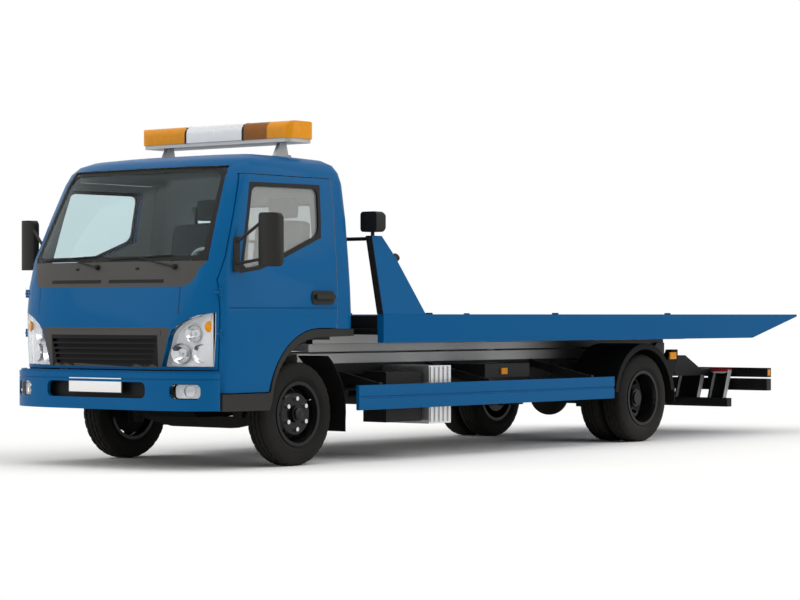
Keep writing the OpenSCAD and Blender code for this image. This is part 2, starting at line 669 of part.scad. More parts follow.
// wheel round the Y axis, outer side toward +Y, middle of the rim at y = 0
module rim(dish, flare, nuts) color(BLACK) {
    r = rim_d / 2;
    rotate([-90, 0, 0]) rotate_extrude() polygon([[r - 12, -90], [r + 14, -90], [r + 14, -80], [r, -72],
        [r, -50], [r - 16, -30], [r - 16, 40], [r, 60], [r, 72], [r + 14, 80], [r + 14, 90], [r - 12, 90],
        [r - 26, 50], [r - 26, -50]]);
    difference() {
        rotate([-90, 0, 0]) rotate_extrude() polygon([[0, dish], [150, dish], [r - 20, dish + flare],
            [r - 20, dish + flare - 12], [150, dish - 12], [0, dish - 12]]);
        rotate([-90, 0, 0]) translate([0, 0, dish - 40]) cylinder(r = 50, h = 80);
        for (a = [0:45:315]) rotate([0, a, 0]) translate([r - 48, 0, 0]) rotate([-90, 0, 0])
            translate([0, 0, dish - 80]) cylinder(r = 17, h = 160);
    }
    if (nuts) for (a = [0:60:300]) rotate([0, a + 30, 0]) translate([111.125, dish - 4, 0])
        rotate([-90, 0, 0]) cylinder(r = 17, h = 26, $fn = 6);
}
module tyre() color(BLACK) {
    R = wheel_r;
    w = tyre_w / 2;
    b = rim_d / 2;
    rotate([-90, 0, 0]) rotate_extrude($fn = 72) polygon([[b + 0.4, -71.8], [b + 14.4, -79.6],
        [b + 30, -w + 12], [b + 70, -w], [R - 60, -w + 3], [R - 22, -w + 14], [R - 6, -w + 28],
        [R, -w + 44], [R, w - 44], [R - 6, w - 28],
        [R - 22, w - 14], [R - 60, w - 3], [b + 70, w], [b + 30, w - 12],
        [b + 14.4, 79.6], [b + 0.4, 71.8]]);
}
module rim_front() {
    rim(60, -45, true);
    color(BLACK) difference() {
        rotate([-90, 0, 0]) union() {
            translate([0, 0, -40]) cylinder(r = 85, h = 90);
            translate([0, 0, 40]) cylinder(r = 62, h = 48);
            translate([0, 0, 80]) cylinder(r = 46, h = 18);
        }
        rotate([-90, 0, 0]) translate([0, 0, -50]) cylinder(r = 34 + pin_play, h = 108);
    }
}
module rims_rear() {
    h = twin_pitch / 2;
    translate([0, h, 0]) rim(12 - h, 50, true);
    translate([0, -h, 0]) mirror([0, 1, 0]) rim(12 - h, 50, false);
    color(BLACK) difference() {
        rotate([-90, 0, 0]) union() {
            translate([0, 0, -100]) cylinder(r = 75, h = 240);
            translate([0, 0, 130]) cylinder(r = 55, h = 24);
            translate([0, 0, -h - 80]) cylinder(r = 150, h = 110);
        }
        rotate([-90, 0, 0]) translate([0, 0, -300]) cylinder(r = 40 + pin_play, h = 402);
    }
}
rear_c = rear_face - tyre_w / 2 - twin_pitch / 2;
module put_front() { fa() translate([0, front_track / 2, wheel_r]) children(); }
module put_rear() { fa() translate([rear_x, rear_c, wheel_r]) children(); }
module twin_tyres() { for (s = [-1, 1]) translate([0, s * twin_pitch / 2, 0]) tyre(); }
module rim_front_left() put_front() rim_front();
module rim_front_right() mirror([0, 1, 0]) put_front() rim_front();
module tyre_front_left() put_front() tyre();
module tyre_front_right() mirror([0, 1, 0]) put_front() tyre();
module rims_rear_left() put_rear() rims_rear();
module rims_rear_right() mirror([0, 1, 0]) put_rear() rims_rear();
module tyres_rear_left() put_rear() twin_tyres();
module tyres_rear_right() mirror([0, 1, 0]) put_rear() twin_tyres();

module tilt_frame() color(SILVER) fa() {
    both() {
        difference() {
            union() {
                box(-700, pivot_x - 90, bearer_y, run_y, tilt_bot, tilt_top);
                side(bearer_y + 8, run_y - 8) polygon([[pivot_x - 45, tilt_bot + 1],
                    [pivot_x + 45, tilt_bot + 1], [pivot_x + 45, pivot_z - 20],
                    [pivot_x + 20, pivot_z - 45], [pivot_x - 20, pivot_z - 45],
                    [pivot_x - 45, pivot_z - 20]]);
            }
            ycyl(pivot_x, pivot_z, pivot_r + pin_play, bearer_y - 20, frame_hw + 20);
        }
        // ears for the lift cylinders
        for (s = [-1, 1]) difference() {
            side(ram_y + s * 36 - 8, ram_y + s * 36 + 8) polygon([[ram_eye[0] - 60, tilt_top],
                [ram_eye[0] + 60, tilt_top], [ram_eye[0] + 34, ram_eye[1] - 34],
                [ram_eye[0] - 34, ram_eye[1] - 34]]);
            ycyl(ram_eye[0], ram_eye[1], 18, ram_y - 60, ram_y + 60);
        }
    }
    for (x = [-760, -2200, -4200]) box(x - 40, x + 40, -bearer_y, bearer_y, tilt_bot + 5, tilt_top - 5);
    box(ram_eye[0] + 62, ram_eye[0] + 122, -bearer_y, bearer_y, tilt_bot + 5, tilt_top - 5);
    both() box(ram_eye[0] - 40, ram_eye[0] + 122, ram_y - 44, ram_y + 44, tilt_top - 14, tilt_top - 5);
}
// along a lift cylinder, from its lower pin
module ram() {
    fa() both() translate([ram_base[0], ram_y, ram_base[1]]) rotate([0, ram_ang - 90, 0]) children();
}
module tilt_barrels() color(BLACK) ram() difference() {
    union() {
        translate([0, 0, 40]) cylinder(r = ram_r, h = ram_len - 160);
        rotate([90, 0, 0]) translate([0, 0, -30]) cylinder(r = 44, h = 60);
    }
    translate([0, 0, 90]) cylinder(r = 26, h = ram_len);
    rotate([90, 0, 0]) translate([0, 0, -40]) cylinder(r = 20 + pin_play, h = 80);
}
module tilt_rods() color(SILVER) ram() difference() {
    union() {
        translate([0, 0, 110]) cylinder(r = 25, h = ram_len - 140);
        translate([0, 0, ram_len]) rotate([90, 0, 0]) translate([0, 0, -24]) cylinder(r = 36, h = 48);
    }
    translate([0, 0, ram_len]) rotate([90, 0, 0]) translate([0, 0, -40]) cylinder(r = 18, h = 80);
}

module bed_frame() color(BLUE) fa() {
    // deck
    box(head_x1, kink_x, -bed_hw + 60, bed_hw - 60, deck_z - 12, deck_z);
    box(head_x0, head_x1, -bed_hw + 60, bed_hw - 60, bed_top - 120, bed_top - 108);
    // side rails with tapered tail
    both() side(bed_hw - 60, bed_hw) polygon([[head_x0, bed_bot], [head_x0, bed_top], [tail_x, bed_top],
        [tail_x, bed_top - 20], [kink_x, bed_bot]]);
    // tail
    side(-bed_hw + 60, bed_hw - 60) polygon([[kink_x, deck_z], [tail_x, deck_z], [tail_x, bed_top - 20],
        [kink_x, bed_bot + 30], [kink_x + 40, bed_bot + 30], [kink_x + 40, deck_z - 12],
        [kink_x, deck_z - 12]]);
    // bearers that run on the tilting frame
    both() box(head_x0 - 10, head_x1 - 10, bearer_y, run_y, tilt_top + 0.5, bed_top - 115);
    both() box(head_x1 - 5, kink_x + 40, bearer_y, run_y, tilt_top + 0.5, deck_z - 6);
    for (x = [head_x0 - 60, -1400, -1900, -2400, -2900, -3400, -3900, -4400, -4900, -5400, -5900])
        both() box(x - 25, x + 25, run_y, bed_hw - 60, bed_bot + 60, bed_top - 12);
    for (x = [head_x0 - 60, -1900, -2900, -3900, -4900, -5900])
        box(x - 25, x + 25, -bearer_y, bearer_y, bed_bot + 60, bed_top - 12);
    box(head_x1 - 20, head_x1, -bed_hw + 60, bed_hw - 60, bed_top - 120, bed_top - 12);
}
// thickness of a headboard gusset and how far it leans in at the top
gusset_t = 60;
gusset_lean = 112;
module headboard() color(BLUE) fa() {
    hz = bed_top + headboard_h;
    both() intersection() {
        side(bed_hw - gusset_lean - gusset_t - 20, bed_hw) polygon([[head_x0, bed_top], [head_x0, hz],
            [head_x0 - 118, hz], [head_x0 - 240, hz - 150], [head_x1, bed_top]]);
        front(-2000, 0) polygon([[bed_hw - gusset_t - 2, bed_top], [bed_hw - 2, bed_top],
            [bed_hw - gusset_lean, hz], [bed_hw - gusset_lean - gusset_t, hz]]);
    }
    // top tube
    ycyl(head_x0 - 40, hz - 22, 14, -(bed_hw - gusset_lean - 30), bed_hw - gusset_lean - 30);
}
module bed_fittings() color(BLACK) fa() {
    hz = bed_top + headboard_h;
    // winch between its side plates
    for (y = [-230, 210]) box(head_x0 - 90, head_x0 - 360, y, y + 20, bed_top - 108, bed_top + 150);
    ycyl(head_x0 - 210, bed_top + 20, 70, -220, 220);
    ycyl(head_x0 - 210, bed_top + 20, 95, 225, 420);
    // work lamps
    both() translate([head_x0 - 45, bed_hw - gusset_lean - gusset_t / 2, 0]) {
        zcyl(0, 0, 14, hz, hz + 34);
        intersection() {
            front(-60, 50) polygon(rrect(-78, 78, hz + 28, hz + 180, 26));
            side(-80, 80) polygon([[-40, hz + 20], [-60, hz + 60], [-60, hz + 150], [-30, hz + 184],
                [50, hz + 184], [50, hz + 20]]);
        }
    }
    // lashing rings on the side rails
    both() for (x = [head_x1 - 75, -3000, -4700]) translate([x, bed_hw - 30, bed_top]) {
        box(-24, 24, -16, 16, 0, 8);
        rotate_extrude($fn = 24) translate([22, 6]) circle(r = 6, $fn = 10);
    }
    // lamps on the gussets
    slope = atan2(headboard_h - 150, head_x0 - 240 - head_x1);
    both() translate([head_x0 - 240 + 0.06 * (head_x1 - head_x0 + 240), bed_hw - 114,
        hz - 150 - 0.06 * (headboard_h - 150)]) rotate([0, -slope, 0]) zcyl(0, 0, 32, 0.5, 42);
}

module wheel_lift() color(BLACK) fa() {
    difference() {
        union() {
            side(-60, 60) polygon([[lift_x + 50, lift_z + 45], [lift_x + 50, lift_z - 45], [bar_in - 5, 240],
                [bar_in - 80, 240], [bar_in - 80, 320], [bar_in - 45, 320], [lift_x - 50, lift_z + 45]]);
            box(bar_in, bar_in - 80, -lift_hl, lift_hl, 240, 320);
        }
        ycyl(lift_x, lift_z, 25 + pin_play, -200, 200);
        // holes for the cradles' locking pins
        both() zcyl(bar_in - 40, lift_hl - 27, 14, 200, 360);
    }
    // wheel cradles, stowed upright: each a backed frame with a lip
    both() for (c = CRADLES) {
        for (y = [c[0], c[1] - 18]) side(y, y + 18)
            polygon([[bar_in - 5, 250], [bar_in - 60, 250], [bar_in - 195, 588], [bar_in - 125, 588]]);
        side(c[0] + 10, c[1] - 10) polygon([[bar_in - 41, 252], [bar_in - 55, 252], [bar_in - 187, 580],
            [bar_in - 171, 580]]);
        side(c[0], c[1]) polygon([[bar_in - 125, 572], [bar_in - 189, 572], [bar_in - 195, 588],
            [bar_in - 119, 588]]);
    }
}
// inner and outer edge of each wheel cradle
CRADLES = [[105, 355], [470, 640]];

chassis_frame();
subframe();
front_axle();
rear_axle();
powertrain();
tanks();
chassis_fittings();
side_guards();
front_bumper();
chassis_lamps();
mudguards();
underrun_bar();
tow_eyes();
cab_floor();
cab_roof();
cab_back();
cab_front();
front_trim();
cab_glass();
headlamps();
arch_flares();
dashboard();
seats();
light_bar();
light_bar_lenses();
door_left();
door_glass_left();
door_trim_left();
door_right();
door_glass_right();
door_trim_right();
knuckle_left();
knuckle_right();
rim_front_left();
tyre_front_left();
rim_front_right();
tyre_front_right();
rims_rear_left();
tyres_rear_left();
rims_rear_right();
tyres_rear_right();
tilt_frame();
tilt_barrels();
tilt_rods();
bed_frame();
headboard();
bed_fittings();
wheel_lift();
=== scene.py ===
"""Slide-bed recovery truck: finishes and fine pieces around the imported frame.

All lengths are metres in the truck's own frame: X forward, Y left, Z up, origin on the
ground at mid-length. Places that come from the source are given in millimetres from the
front axle and turned into that frame by at().
"""
import logging
import math
from dataclasses import dataclass, field
from enum import Enum
from functools import cache
from typing import Callable, Iterable, Sequence

import bmesh
import bpy
from mathutils import Matrix, Vector
from mathutils.bvhtree import BVHTree


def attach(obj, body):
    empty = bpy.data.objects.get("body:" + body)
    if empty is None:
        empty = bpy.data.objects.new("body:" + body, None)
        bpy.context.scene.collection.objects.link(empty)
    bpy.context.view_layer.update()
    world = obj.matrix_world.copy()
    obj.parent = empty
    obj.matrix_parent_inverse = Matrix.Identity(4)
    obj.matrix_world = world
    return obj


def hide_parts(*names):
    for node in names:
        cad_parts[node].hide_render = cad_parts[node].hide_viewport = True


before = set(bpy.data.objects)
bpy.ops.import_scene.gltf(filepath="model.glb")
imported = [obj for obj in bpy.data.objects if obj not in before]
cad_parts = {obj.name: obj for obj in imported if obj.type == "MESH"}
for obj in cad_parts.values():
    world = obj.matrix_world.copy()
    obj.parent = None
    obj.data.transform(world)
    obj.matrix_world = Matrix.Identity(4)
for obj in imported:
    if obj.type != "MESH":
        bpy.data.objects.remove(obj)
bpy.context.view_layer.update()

LOG = logging.getLogger("truck")
FRONT_AXLE = 2.8825
MM = 0.001
# Rear axle and hubs, in millimetres from the front axle and the ground
REAR_AXLE = -4470.0
HUB = 376.5
# A face looks along an axis where its normal's part on that axis is above this
FACING = 0.9
# Near-black colour of the painted shade that stands for the bed's shadow over the frames
PAINTED_SHADE_COLOUR = (0.012, 0.0115, 0.011, 1.0)
DUST_COLOUR = (0.16, 0.145, 0.125, 1.0)
SIDES = (("left", 1.0), ("right", -1.0))
Point = tuple[float, float]


def at(x: float, y: float, z: float) -> Vector:
    """A place in millimetres from the front axle, as a point of the truck's frame."""
    return Vector((x * MM + FRONT_AXLE, y * MM, z * MM))


# Finishes


class Pattern(Enum):
    """What the small relief of a finish looks like."""

    PEEL = "peel"
    GRAIN = "grain"
    SPANGLE = "spangle"
    CAST = "cast"
    BRUSHED = "brushed"
    WEAVE = "weave"
    PRISM = "prism"
    CHEQUER = "chequer"
    SMOOTH = "smooth"


class Tree:
    """Short way to add and link shader nodes."""

    def __init__(self, tree: bpy.types.NodeTree) -> None:
        """Keeps the tree that nodes go into.

        Args:
            tree: a material's node tree or a node group.
        """
        self.tree = tree

    def add(self, kind: str, values: dict | None = None, **props: object) -> bpy.types.Node:
        """Adds a node.

        Args:
            kind: node type without the ShaderNode prefix, or a full type name.
            values: input name or index to a constant or to an output socket.
            props: properties of the node.

        Returns:
            The new node.
        """
        full = kind if kind.startswith("Node") else "ShaderNode" + kind
        node = self.tree.nodes.new(full)
        for name, value in props.items():
            setattr(node, name, value)
        return self.fill(node, values or {})

    def fill(self, node: bpy.types.Node, values: dict) -> bpy.types.Node:
        """Sets or links some inputs of a node.

        Args:
            node: the node.
            values: input name or index to a constant or to an output socket.

        Returns:
            The same node.
        """
        for key, value in values.items():
            if isinstance(value, bpy.types.NodeSocket):
                self.tree.links.new(value, node.inputs[key])
            else:
                node.inputs[key].default_value = value
        return node

    def math(self, op: str, a: object, b: object = 0.0, clamp: bool = False) -> bpy.types.NodeSocket:
        """One Math node.

        Args:
            op: the operation.
            a: first value or socket.
            b: second value or socket.
            clamp: keep the result between 0 and 1.

        Returns:
            The result's socket.
        """
        return self.add("Math", {0: a, 1: b}, operation=op, use_clamp=clamp).outputs[0]

    def ramp(self, value: object, low: object, high: object) -> bpy.types.NodeSocket:
        """A smooth step of value from low to high, as a socket from 0 to 1."""
        node = self.add("MapRange", {0: value, 1: low, 2: high}, interpolation_type="SMOOTHSTEP")
        return node.outputs[0]

    def mix(self, fac: object, a: object, b: object) -> bpy.types.NodeSocket:
        """Two colours mixed by fac, as a socket."""
        node = self.add("Mix", {0: fac, 6: a, 7: b}, data_type="RGBA")
        return node.outputs[2]


@cache
def surface_group() -> bpy.types.NodeTree:
    """The shared effect of colour variation, painted shade that darkens the colour along the truck's length,
    and road dust, made once.

    Returns:
        The node group, with outputs Color and Roughness.
    """
    group = bpy.data.node_groups.new("surface_life", "ShaderNodeTree")
    group.interface.new_socket("Color", in_out="INPUT", socket_type="NodeSocketColor")
    for name in ("Roughness", "Scale", "Variation", "Dust", "ShadeFrom", "ShadeTo"):
        group.interface.new_socket(name, in_out="INPUT", socket_type="NodeSocketFloat")
    group.interface.new_socket("Color", in_out="OUTPUT", socket_type="NodeSocketColor")
    group.interface.new_socket("Roughness", in_out="OUTPUT", socket_type="NodeSocketFloat")
    t = Tree(group)
    given = t.add("NodeGroupInput").outputs
    place = t.add("TexCoord").outputs["Object"]
    where = t.add("SeparateXYZ", {0: place}).outputs
    upward = t.add("SeparateXYZ", {0: t.add("NewGeometry").outputs["Normal"]}).outputs["Z"]
    fine = t.add("TexNoise", {"Vector": place, "Scale": given["Scale"], "Detail": 3.0}).outputs[0]
    blotch = t.add("TexNoise", {"Vector": place, "Scale": 1.7, "Detail": 4.0}).outputs[0]
    swing = t.math("SUBTRACT", t.math("ADD", t.math("MULTIPLY", blotch, 0.6),
                                      t.math("MULTIPLY", fine, 0.4)), 0.5)
    level = t.math("ADD", 1.0, t.math("MULTIPLY", swing, t.math("MULTIPLY", given["Variation"], 2.0)))
    toned = t.add("VectorMath", {0: given["Color"], "Scale": level}, operation="SCALE").outputs[0]
    # Painted shade: between two places along X the colour darkens to near black, standing for the bed's
    # shadow
    shaded = t.mix(t.ramp(where["X"], given["ShadeFrom"], given["ShadeTo"]), toned, PAINTED_SHADE_COLOUR)
    low = t.math("MULTIPLY", t.ramp(where["Z"], 0.95, 0.1), t.ramp(blotch, 0.3, 0.75))
    settled = t.math("MULTIPLY", t.ramp(upward, 0.5, 1.0), t.math("MULTIPLY", fine, 0.5))
    dust = t.math("MULTIPLY", t.math("ADD", low, settled), given["Dust"], clamp=True)
    dusty = t.mix(dust, shaded, DUST_COLOUR)
    rough = t.math("ADD", given["Roughness"], t.math("MULTIPLY", t.math("SUBTRACT", fine, 0.5), 0.18))
    rough = t.math("ADD", rough, t.math("MULTIPLY", dust, 0.35), clamp=True)
    t.add("NodeGroupOutput", {"Color": dusty, "Roughness": rough})
    return group


@cache
def relief_group(pattern: Pattern) -> bpy.types.NodeTree:
    """The height of one pattern, made once.

    Args:
        pattern: which relief.

    Returns:
        The node group, with the input Scale and the output Height.
    """
    group = bpy.data.node_groups.new("relief_" + pattern.value, "ShaderNodeTree")
    group.interface.new_socket("Scale", in_out="INPUT", socket_type="NodeSocketFloat")
    group.interface.new_socket("Height", in_out="OUTPUT", socket_type="NodeSocketFloat")
    t = Tree(group)
    scale = t.add("NodeGroupInput").outputs["Scale"]
    place = t.add("TexCoord").outputs["Object"]

    def wave(where: bpy.types.NodeSocket, axis: str) -> bpy.types.NodeSocket:
        """Soft stripes across one axis."""
        return t.add("TexWave", {"Vector": where, "Scale": scale}, bands_direction=axis).outputs[1]

    if pattern in (Pattern.SPANGLE, Pattern.GRAIN):
        feature = "F1" if pattern is Pattern.SPANGLE else "SMOOTH_F1"
        out = t.add("TexVoronoi", {"Vector": place, "Scale": scale}, feature=feature).outputs["Distance"]
    elif pattern is Pattern.WEAVE:
        out = t.math("MAXIMUM", wave(place, "Y"), wave(place, "Z"))
    elif pattern is Pattern.PRISM:
        out = wave(place, "Y")
    elif pattern is Pattern.CHEQUER:
        skew = t.add("Mapping", {"Vector": place, "Rotation": (0.0, 0.0, math.pi / 4)}).outputs[0]
        out = t.ramp(t.math("MULTIPLY", wave(skew, "X"), wave(skew, "Y")), 0.35, 0.7)
    else:
        if pattern is Pattern.BRUSHED:
            place = t.add("Mapping", {"Vector": place, "Scale": (0.05, 1.0, 1.0)}).outputs[0]
        detail = 6.0 if pattern is Pattern.CAST else 2.0
        out = t.add("TexNoise", {"Vector": place, "Scale": scale, "Detail": detail}).outputs[0]
    t.add("NodeGroupOutput", {"Height": out})
    return group


@dataclass(frozen=True)
class Finish:
    """One finish: its colour, gloss, small relief, dust and painted shade."""

    name: str
    colour: tuple[float, float, float]
    roughness: float = 0.5
    metallic: float = 0.0
    coat: float = 0.0
    pattern: Pattern = Pattern.PEEL
    scale: float = 120.0
    relief: float = 0.1
    depth: float = 0.0004
    variation: float = 0.12
    dust: float = 0.0
    transmission: float = 0.0
    ior: float = 1.45
    glow: float = 0.0
    specular: float = 0.5
    # Painted shade along X in metres: the darkening starts at the first place and is full at the second; the
    # default lies off the truck
    painted_shade: tuple[float, float] = (-50.0, -60.0)

    @cache
    def material(self) -> bpy.types.Material:
        """The material of this finish, made once.

        Returns:
            The node material.
        """
        made = bpy.data.materials.new("finish." + self.name)
        made.use_nodes = True
        t = Tree(made.node_tree)
        life = t.add("Group", {"Color": (*self.colour, 1.0), "Roughness": self.roughness, "Scale": self.scale,
                               "Dust": self.dust, "Variation": self.variation, "ShadeFrom": self.painted_shade[0],
                               "ShadeTo": self.painted_shade[1]}, node_tree=surface_group()).outputs
        shader = t.fill(made.node_tree.nodes["Principled BSDF"], {
            "Base Color": life["Color"], "Roughness": life["Roughness"], "Metallic": self.metallic,
            "Coat Weight": self.coat, "Coat Roughness": 0.06, "Specular IOR Level": self.specular,
            "Transmission Weight": self.transmission, "IOR": self.ior, "Emission Strength": self.glow})
        if self.pattern is not Pattern.SMOOTH:
            relief = t.add("Group", {"Scale": self.scale}, node_tree=relief_group(self.pattern))
            bump = t.add("Bump", {"Height": relief.outputs["Height"], "Strength": self.relief,
                                  "Distance": self.depth})
            t.fill(shader, {"Normal": bump.outputs[0]})
        if self.glow:
            t.fill(shader, {"Emission Color": life["Color"]})
        return made


BLUE = Finish("blue_paint", (0.0, 0.088, 0.24), 0.34, 0.0, 0.08, Pattern.PEEL, 260.0, 0.03, dust=0.005,
              variation=0.05, specular=0.05)
BED_BLUE = Finish("bed_paint", (0.0, 0.083, 0.23), 0.45, 0.0, 0.03, Pattern.PEEL, 200.0, 0.04, dust=0.01,
                  variation=0.06, specular=0.05)
DECK = Finish("deck_plate", (0.004, 0.08, 0.21), 0.5, 0.0, 0.1, Pattern.CHEQUER, 9.0, 0.5, 0.003, 0.16,
              dust=0.3)
BLACK = Finish("chassis_black", (0.008, 0.008, 0.0085), 0.5, 0.0, 0.0, Pattern.CAST, 90.0, 0.12, dust=0.07,
               variation=0.2, specular=0.2)
RIM = Finish("rim_black", (0.005, 0.005, 0.0055), 0.24, 0.0, 0.14, Pattern.PEEL, 180.0, 0.04, dust=0.005,
             variation=0.2, specular=0.16)
TRIM = Finish("dark_plastic", (0.05, 0.048, 0.044), 0.55, pattern=Pattern.GRAIN, scale=420.0, relief=0.15,
              dust=0.06, variation=0.12, specular=0.25)
FLARE = Finish("flare_plastic", (0.016, 0.0155, 0.0145), 0.55, pattern=Pattern.GRAIN, scale=420.0,
               relief=0.15, dust=0.05, variation=0.12, specular=0.2)
GUARD = Finish("guard_plastic", (0.005, 0.005, 0.005), 0.6, pattern=Pattern.GRAIN, scale=300.0, relief=0.15,
               dust=0.04, variation=0.15, specular=0.1)
MESH = Finish("grille_plastic", (0.004, 0.004, 0.004), 0.45, pattern=Pattern.GRAIN, scale=300.0, relief=0.1,
              dust=0.03, specular=0.14)
SEAL = Finish("rubber_seal", (0.009, 0.009, 0.009), 0.6, pattern=Pattern.GRAIN, scale=500.0, relief=0.08,
              dust=0.03, specular=0.2)
RUBBER = Finish("tyre_rubber", (0.0095, 0.009, 0.0085), 0.75, pattern=Pattern.GRAIN, scale=240.0, relief=0.2,
                dust=0.09, variation=0.2, specular=0.14)
STEEL = Finish("galvanised", (0.4, 0.4, 0.395), 0.45, 0.45, pattern=Pattern.SPANGLE, scale=70.0, relief=0.08,
               dust=0.12, variation=0.25)
# The under-frame darkens towards the rear: painted shade of the bed's shadow
UNDER = Finish("under_frame", (0.56, 0.56, 0.55), 0.5, 0.3, pattern=Pattern.SPANGLE, scale=70.0, relief=0.08,
               dust=0.08, variation=0.25, painted_shade=(-0.3, -1.3))
# The bed's runners darken towards the rear: painted shade under the deck
RUNNER = Finish("bed_runner", (0.62, 0.62, 0.61), 0.45, 0.3, pattern=Pattern.BRUSHED, scale=70.0, relief=0.06,
                dust=0.06, variation=0.2, painted_shade=(-2.0, -3.6))
CAST = Finish("cast_iron", (0.014, 0.0135, 0.013), 0.66, 0.0, pattern=Pattern.CAST, scale=110.0, relief=0.35,
              depth=0.001, dust=0.12, variation=0.25, specular=0.2)
ALLOY = Finish("aluminium", (0.66, 0.665, 0.67), 0.3, 0.75, pattern=Pattern.BRUSHED, scale=90.0, relief=0.06,
               dust=0.06, variation=0.12)
CHROME = Finish("chrome", (0.66, 0.66, 0.66), 0.12, 1.0, pattern=Pattern.BRUSHED, scale=60.0, relief=0.02,
                variation=0.06)
MIRROR = Finish("mirror_glass", (0.86, 0.88, 0.9), 0.04, 1.0, pattern=Pattern.SMOOTH, variation=0.03)
GLASS = Finish("window_glass", (0.71, 0.81, 0.825), 0.0, pattern=Pattern.SMOOTH, transmission=1.0, ior=1.14,
               variation=0.03)
# Left door's glass: partly a grey matt layer, a painted reflection on the window, mixed with see-through
# glass
REFLECTION_PAINTED_GLASS = Finish("door_glass", (0.53, 0.545, 0.53), 0.0, pattern=Pattern.SMOOTH, transmission=0.74,
                    ior=1.3, variation=0.05)
LENS = Finish("clear_lens", (0.95, 0.96, 0.97), 0.02, pattern=Pattern.SMOOTH, transmission=1.0, ior=1.12,
              variation=0.02)
AMBER = Finish("amber_lens", (0.68, 0.26, 0.008), 0.25, coat=0.08, pattern=Pattern.PRISM, scale=24.0,
               relief=0.3, depth=0.002, variation=0.3, glow=0.03, specular=0.1)
BROWN = Finish("dark_amber_lens", (0.25, 0.085, 0.012), 0.25, coat=0.06, pattern=Pattern.PRISM, scale=24.0,
               relief=0.3, depth=0.002, variation=0.4, specular=0.1)
RED = Finish("red_lens", (0.62, 0.02, 0.025), 0.2, coat=0.4, pattern=Pattern.PRISM, scale=60.0, relief=0.2,
             depth=0.001, variation=0.15)
WHITE = Finish("white_plate", (0.8, 0.8, 0.79), 0.35, coat=0.2, pattern=Pattern.PEEL, scale=150.0,
               relief=0.03, variation=0.05, dust=0.05)
COVER = Finish("bar_cover", (0.68, 0.69, 0.7), 0.25, 0.0, 0.4, Pattern.PRISM, 18.0, 0.12, 0.002, 0.1)
CLOTH = Finish("seat_cloth", (0.1, 0.103, 0.108), 0.85, pattern=Pattern.WEAVE, scale=160.0, relief=0.5,
               depth=0.0008, variation=0.16, specular=0.1)
CABIN = Finish("cabin_plastic", (0.42, 0.42, 0.41), 0.6, pattern=Pattern.GRAIN, scale=300.0, relief=0.15,
               variation=0.1, specular=0.2)
PLATE = Finish("zinc_plate", (0.5, 0.5, 0.49), 0.5, 0.2, pattern=Pattern.SPANGLE, scale=60.0, relief=0.08,
               dust=0.1, variation=0.3)


# Mesh making


def turned(axis: Vector) -> Matrix:
    """A rotation that takes +Z to axis, as a 4 by 4 matrix."""
    return axis.normalized().to_track_quat("Z", "Y").to_matrix().to_4x4()


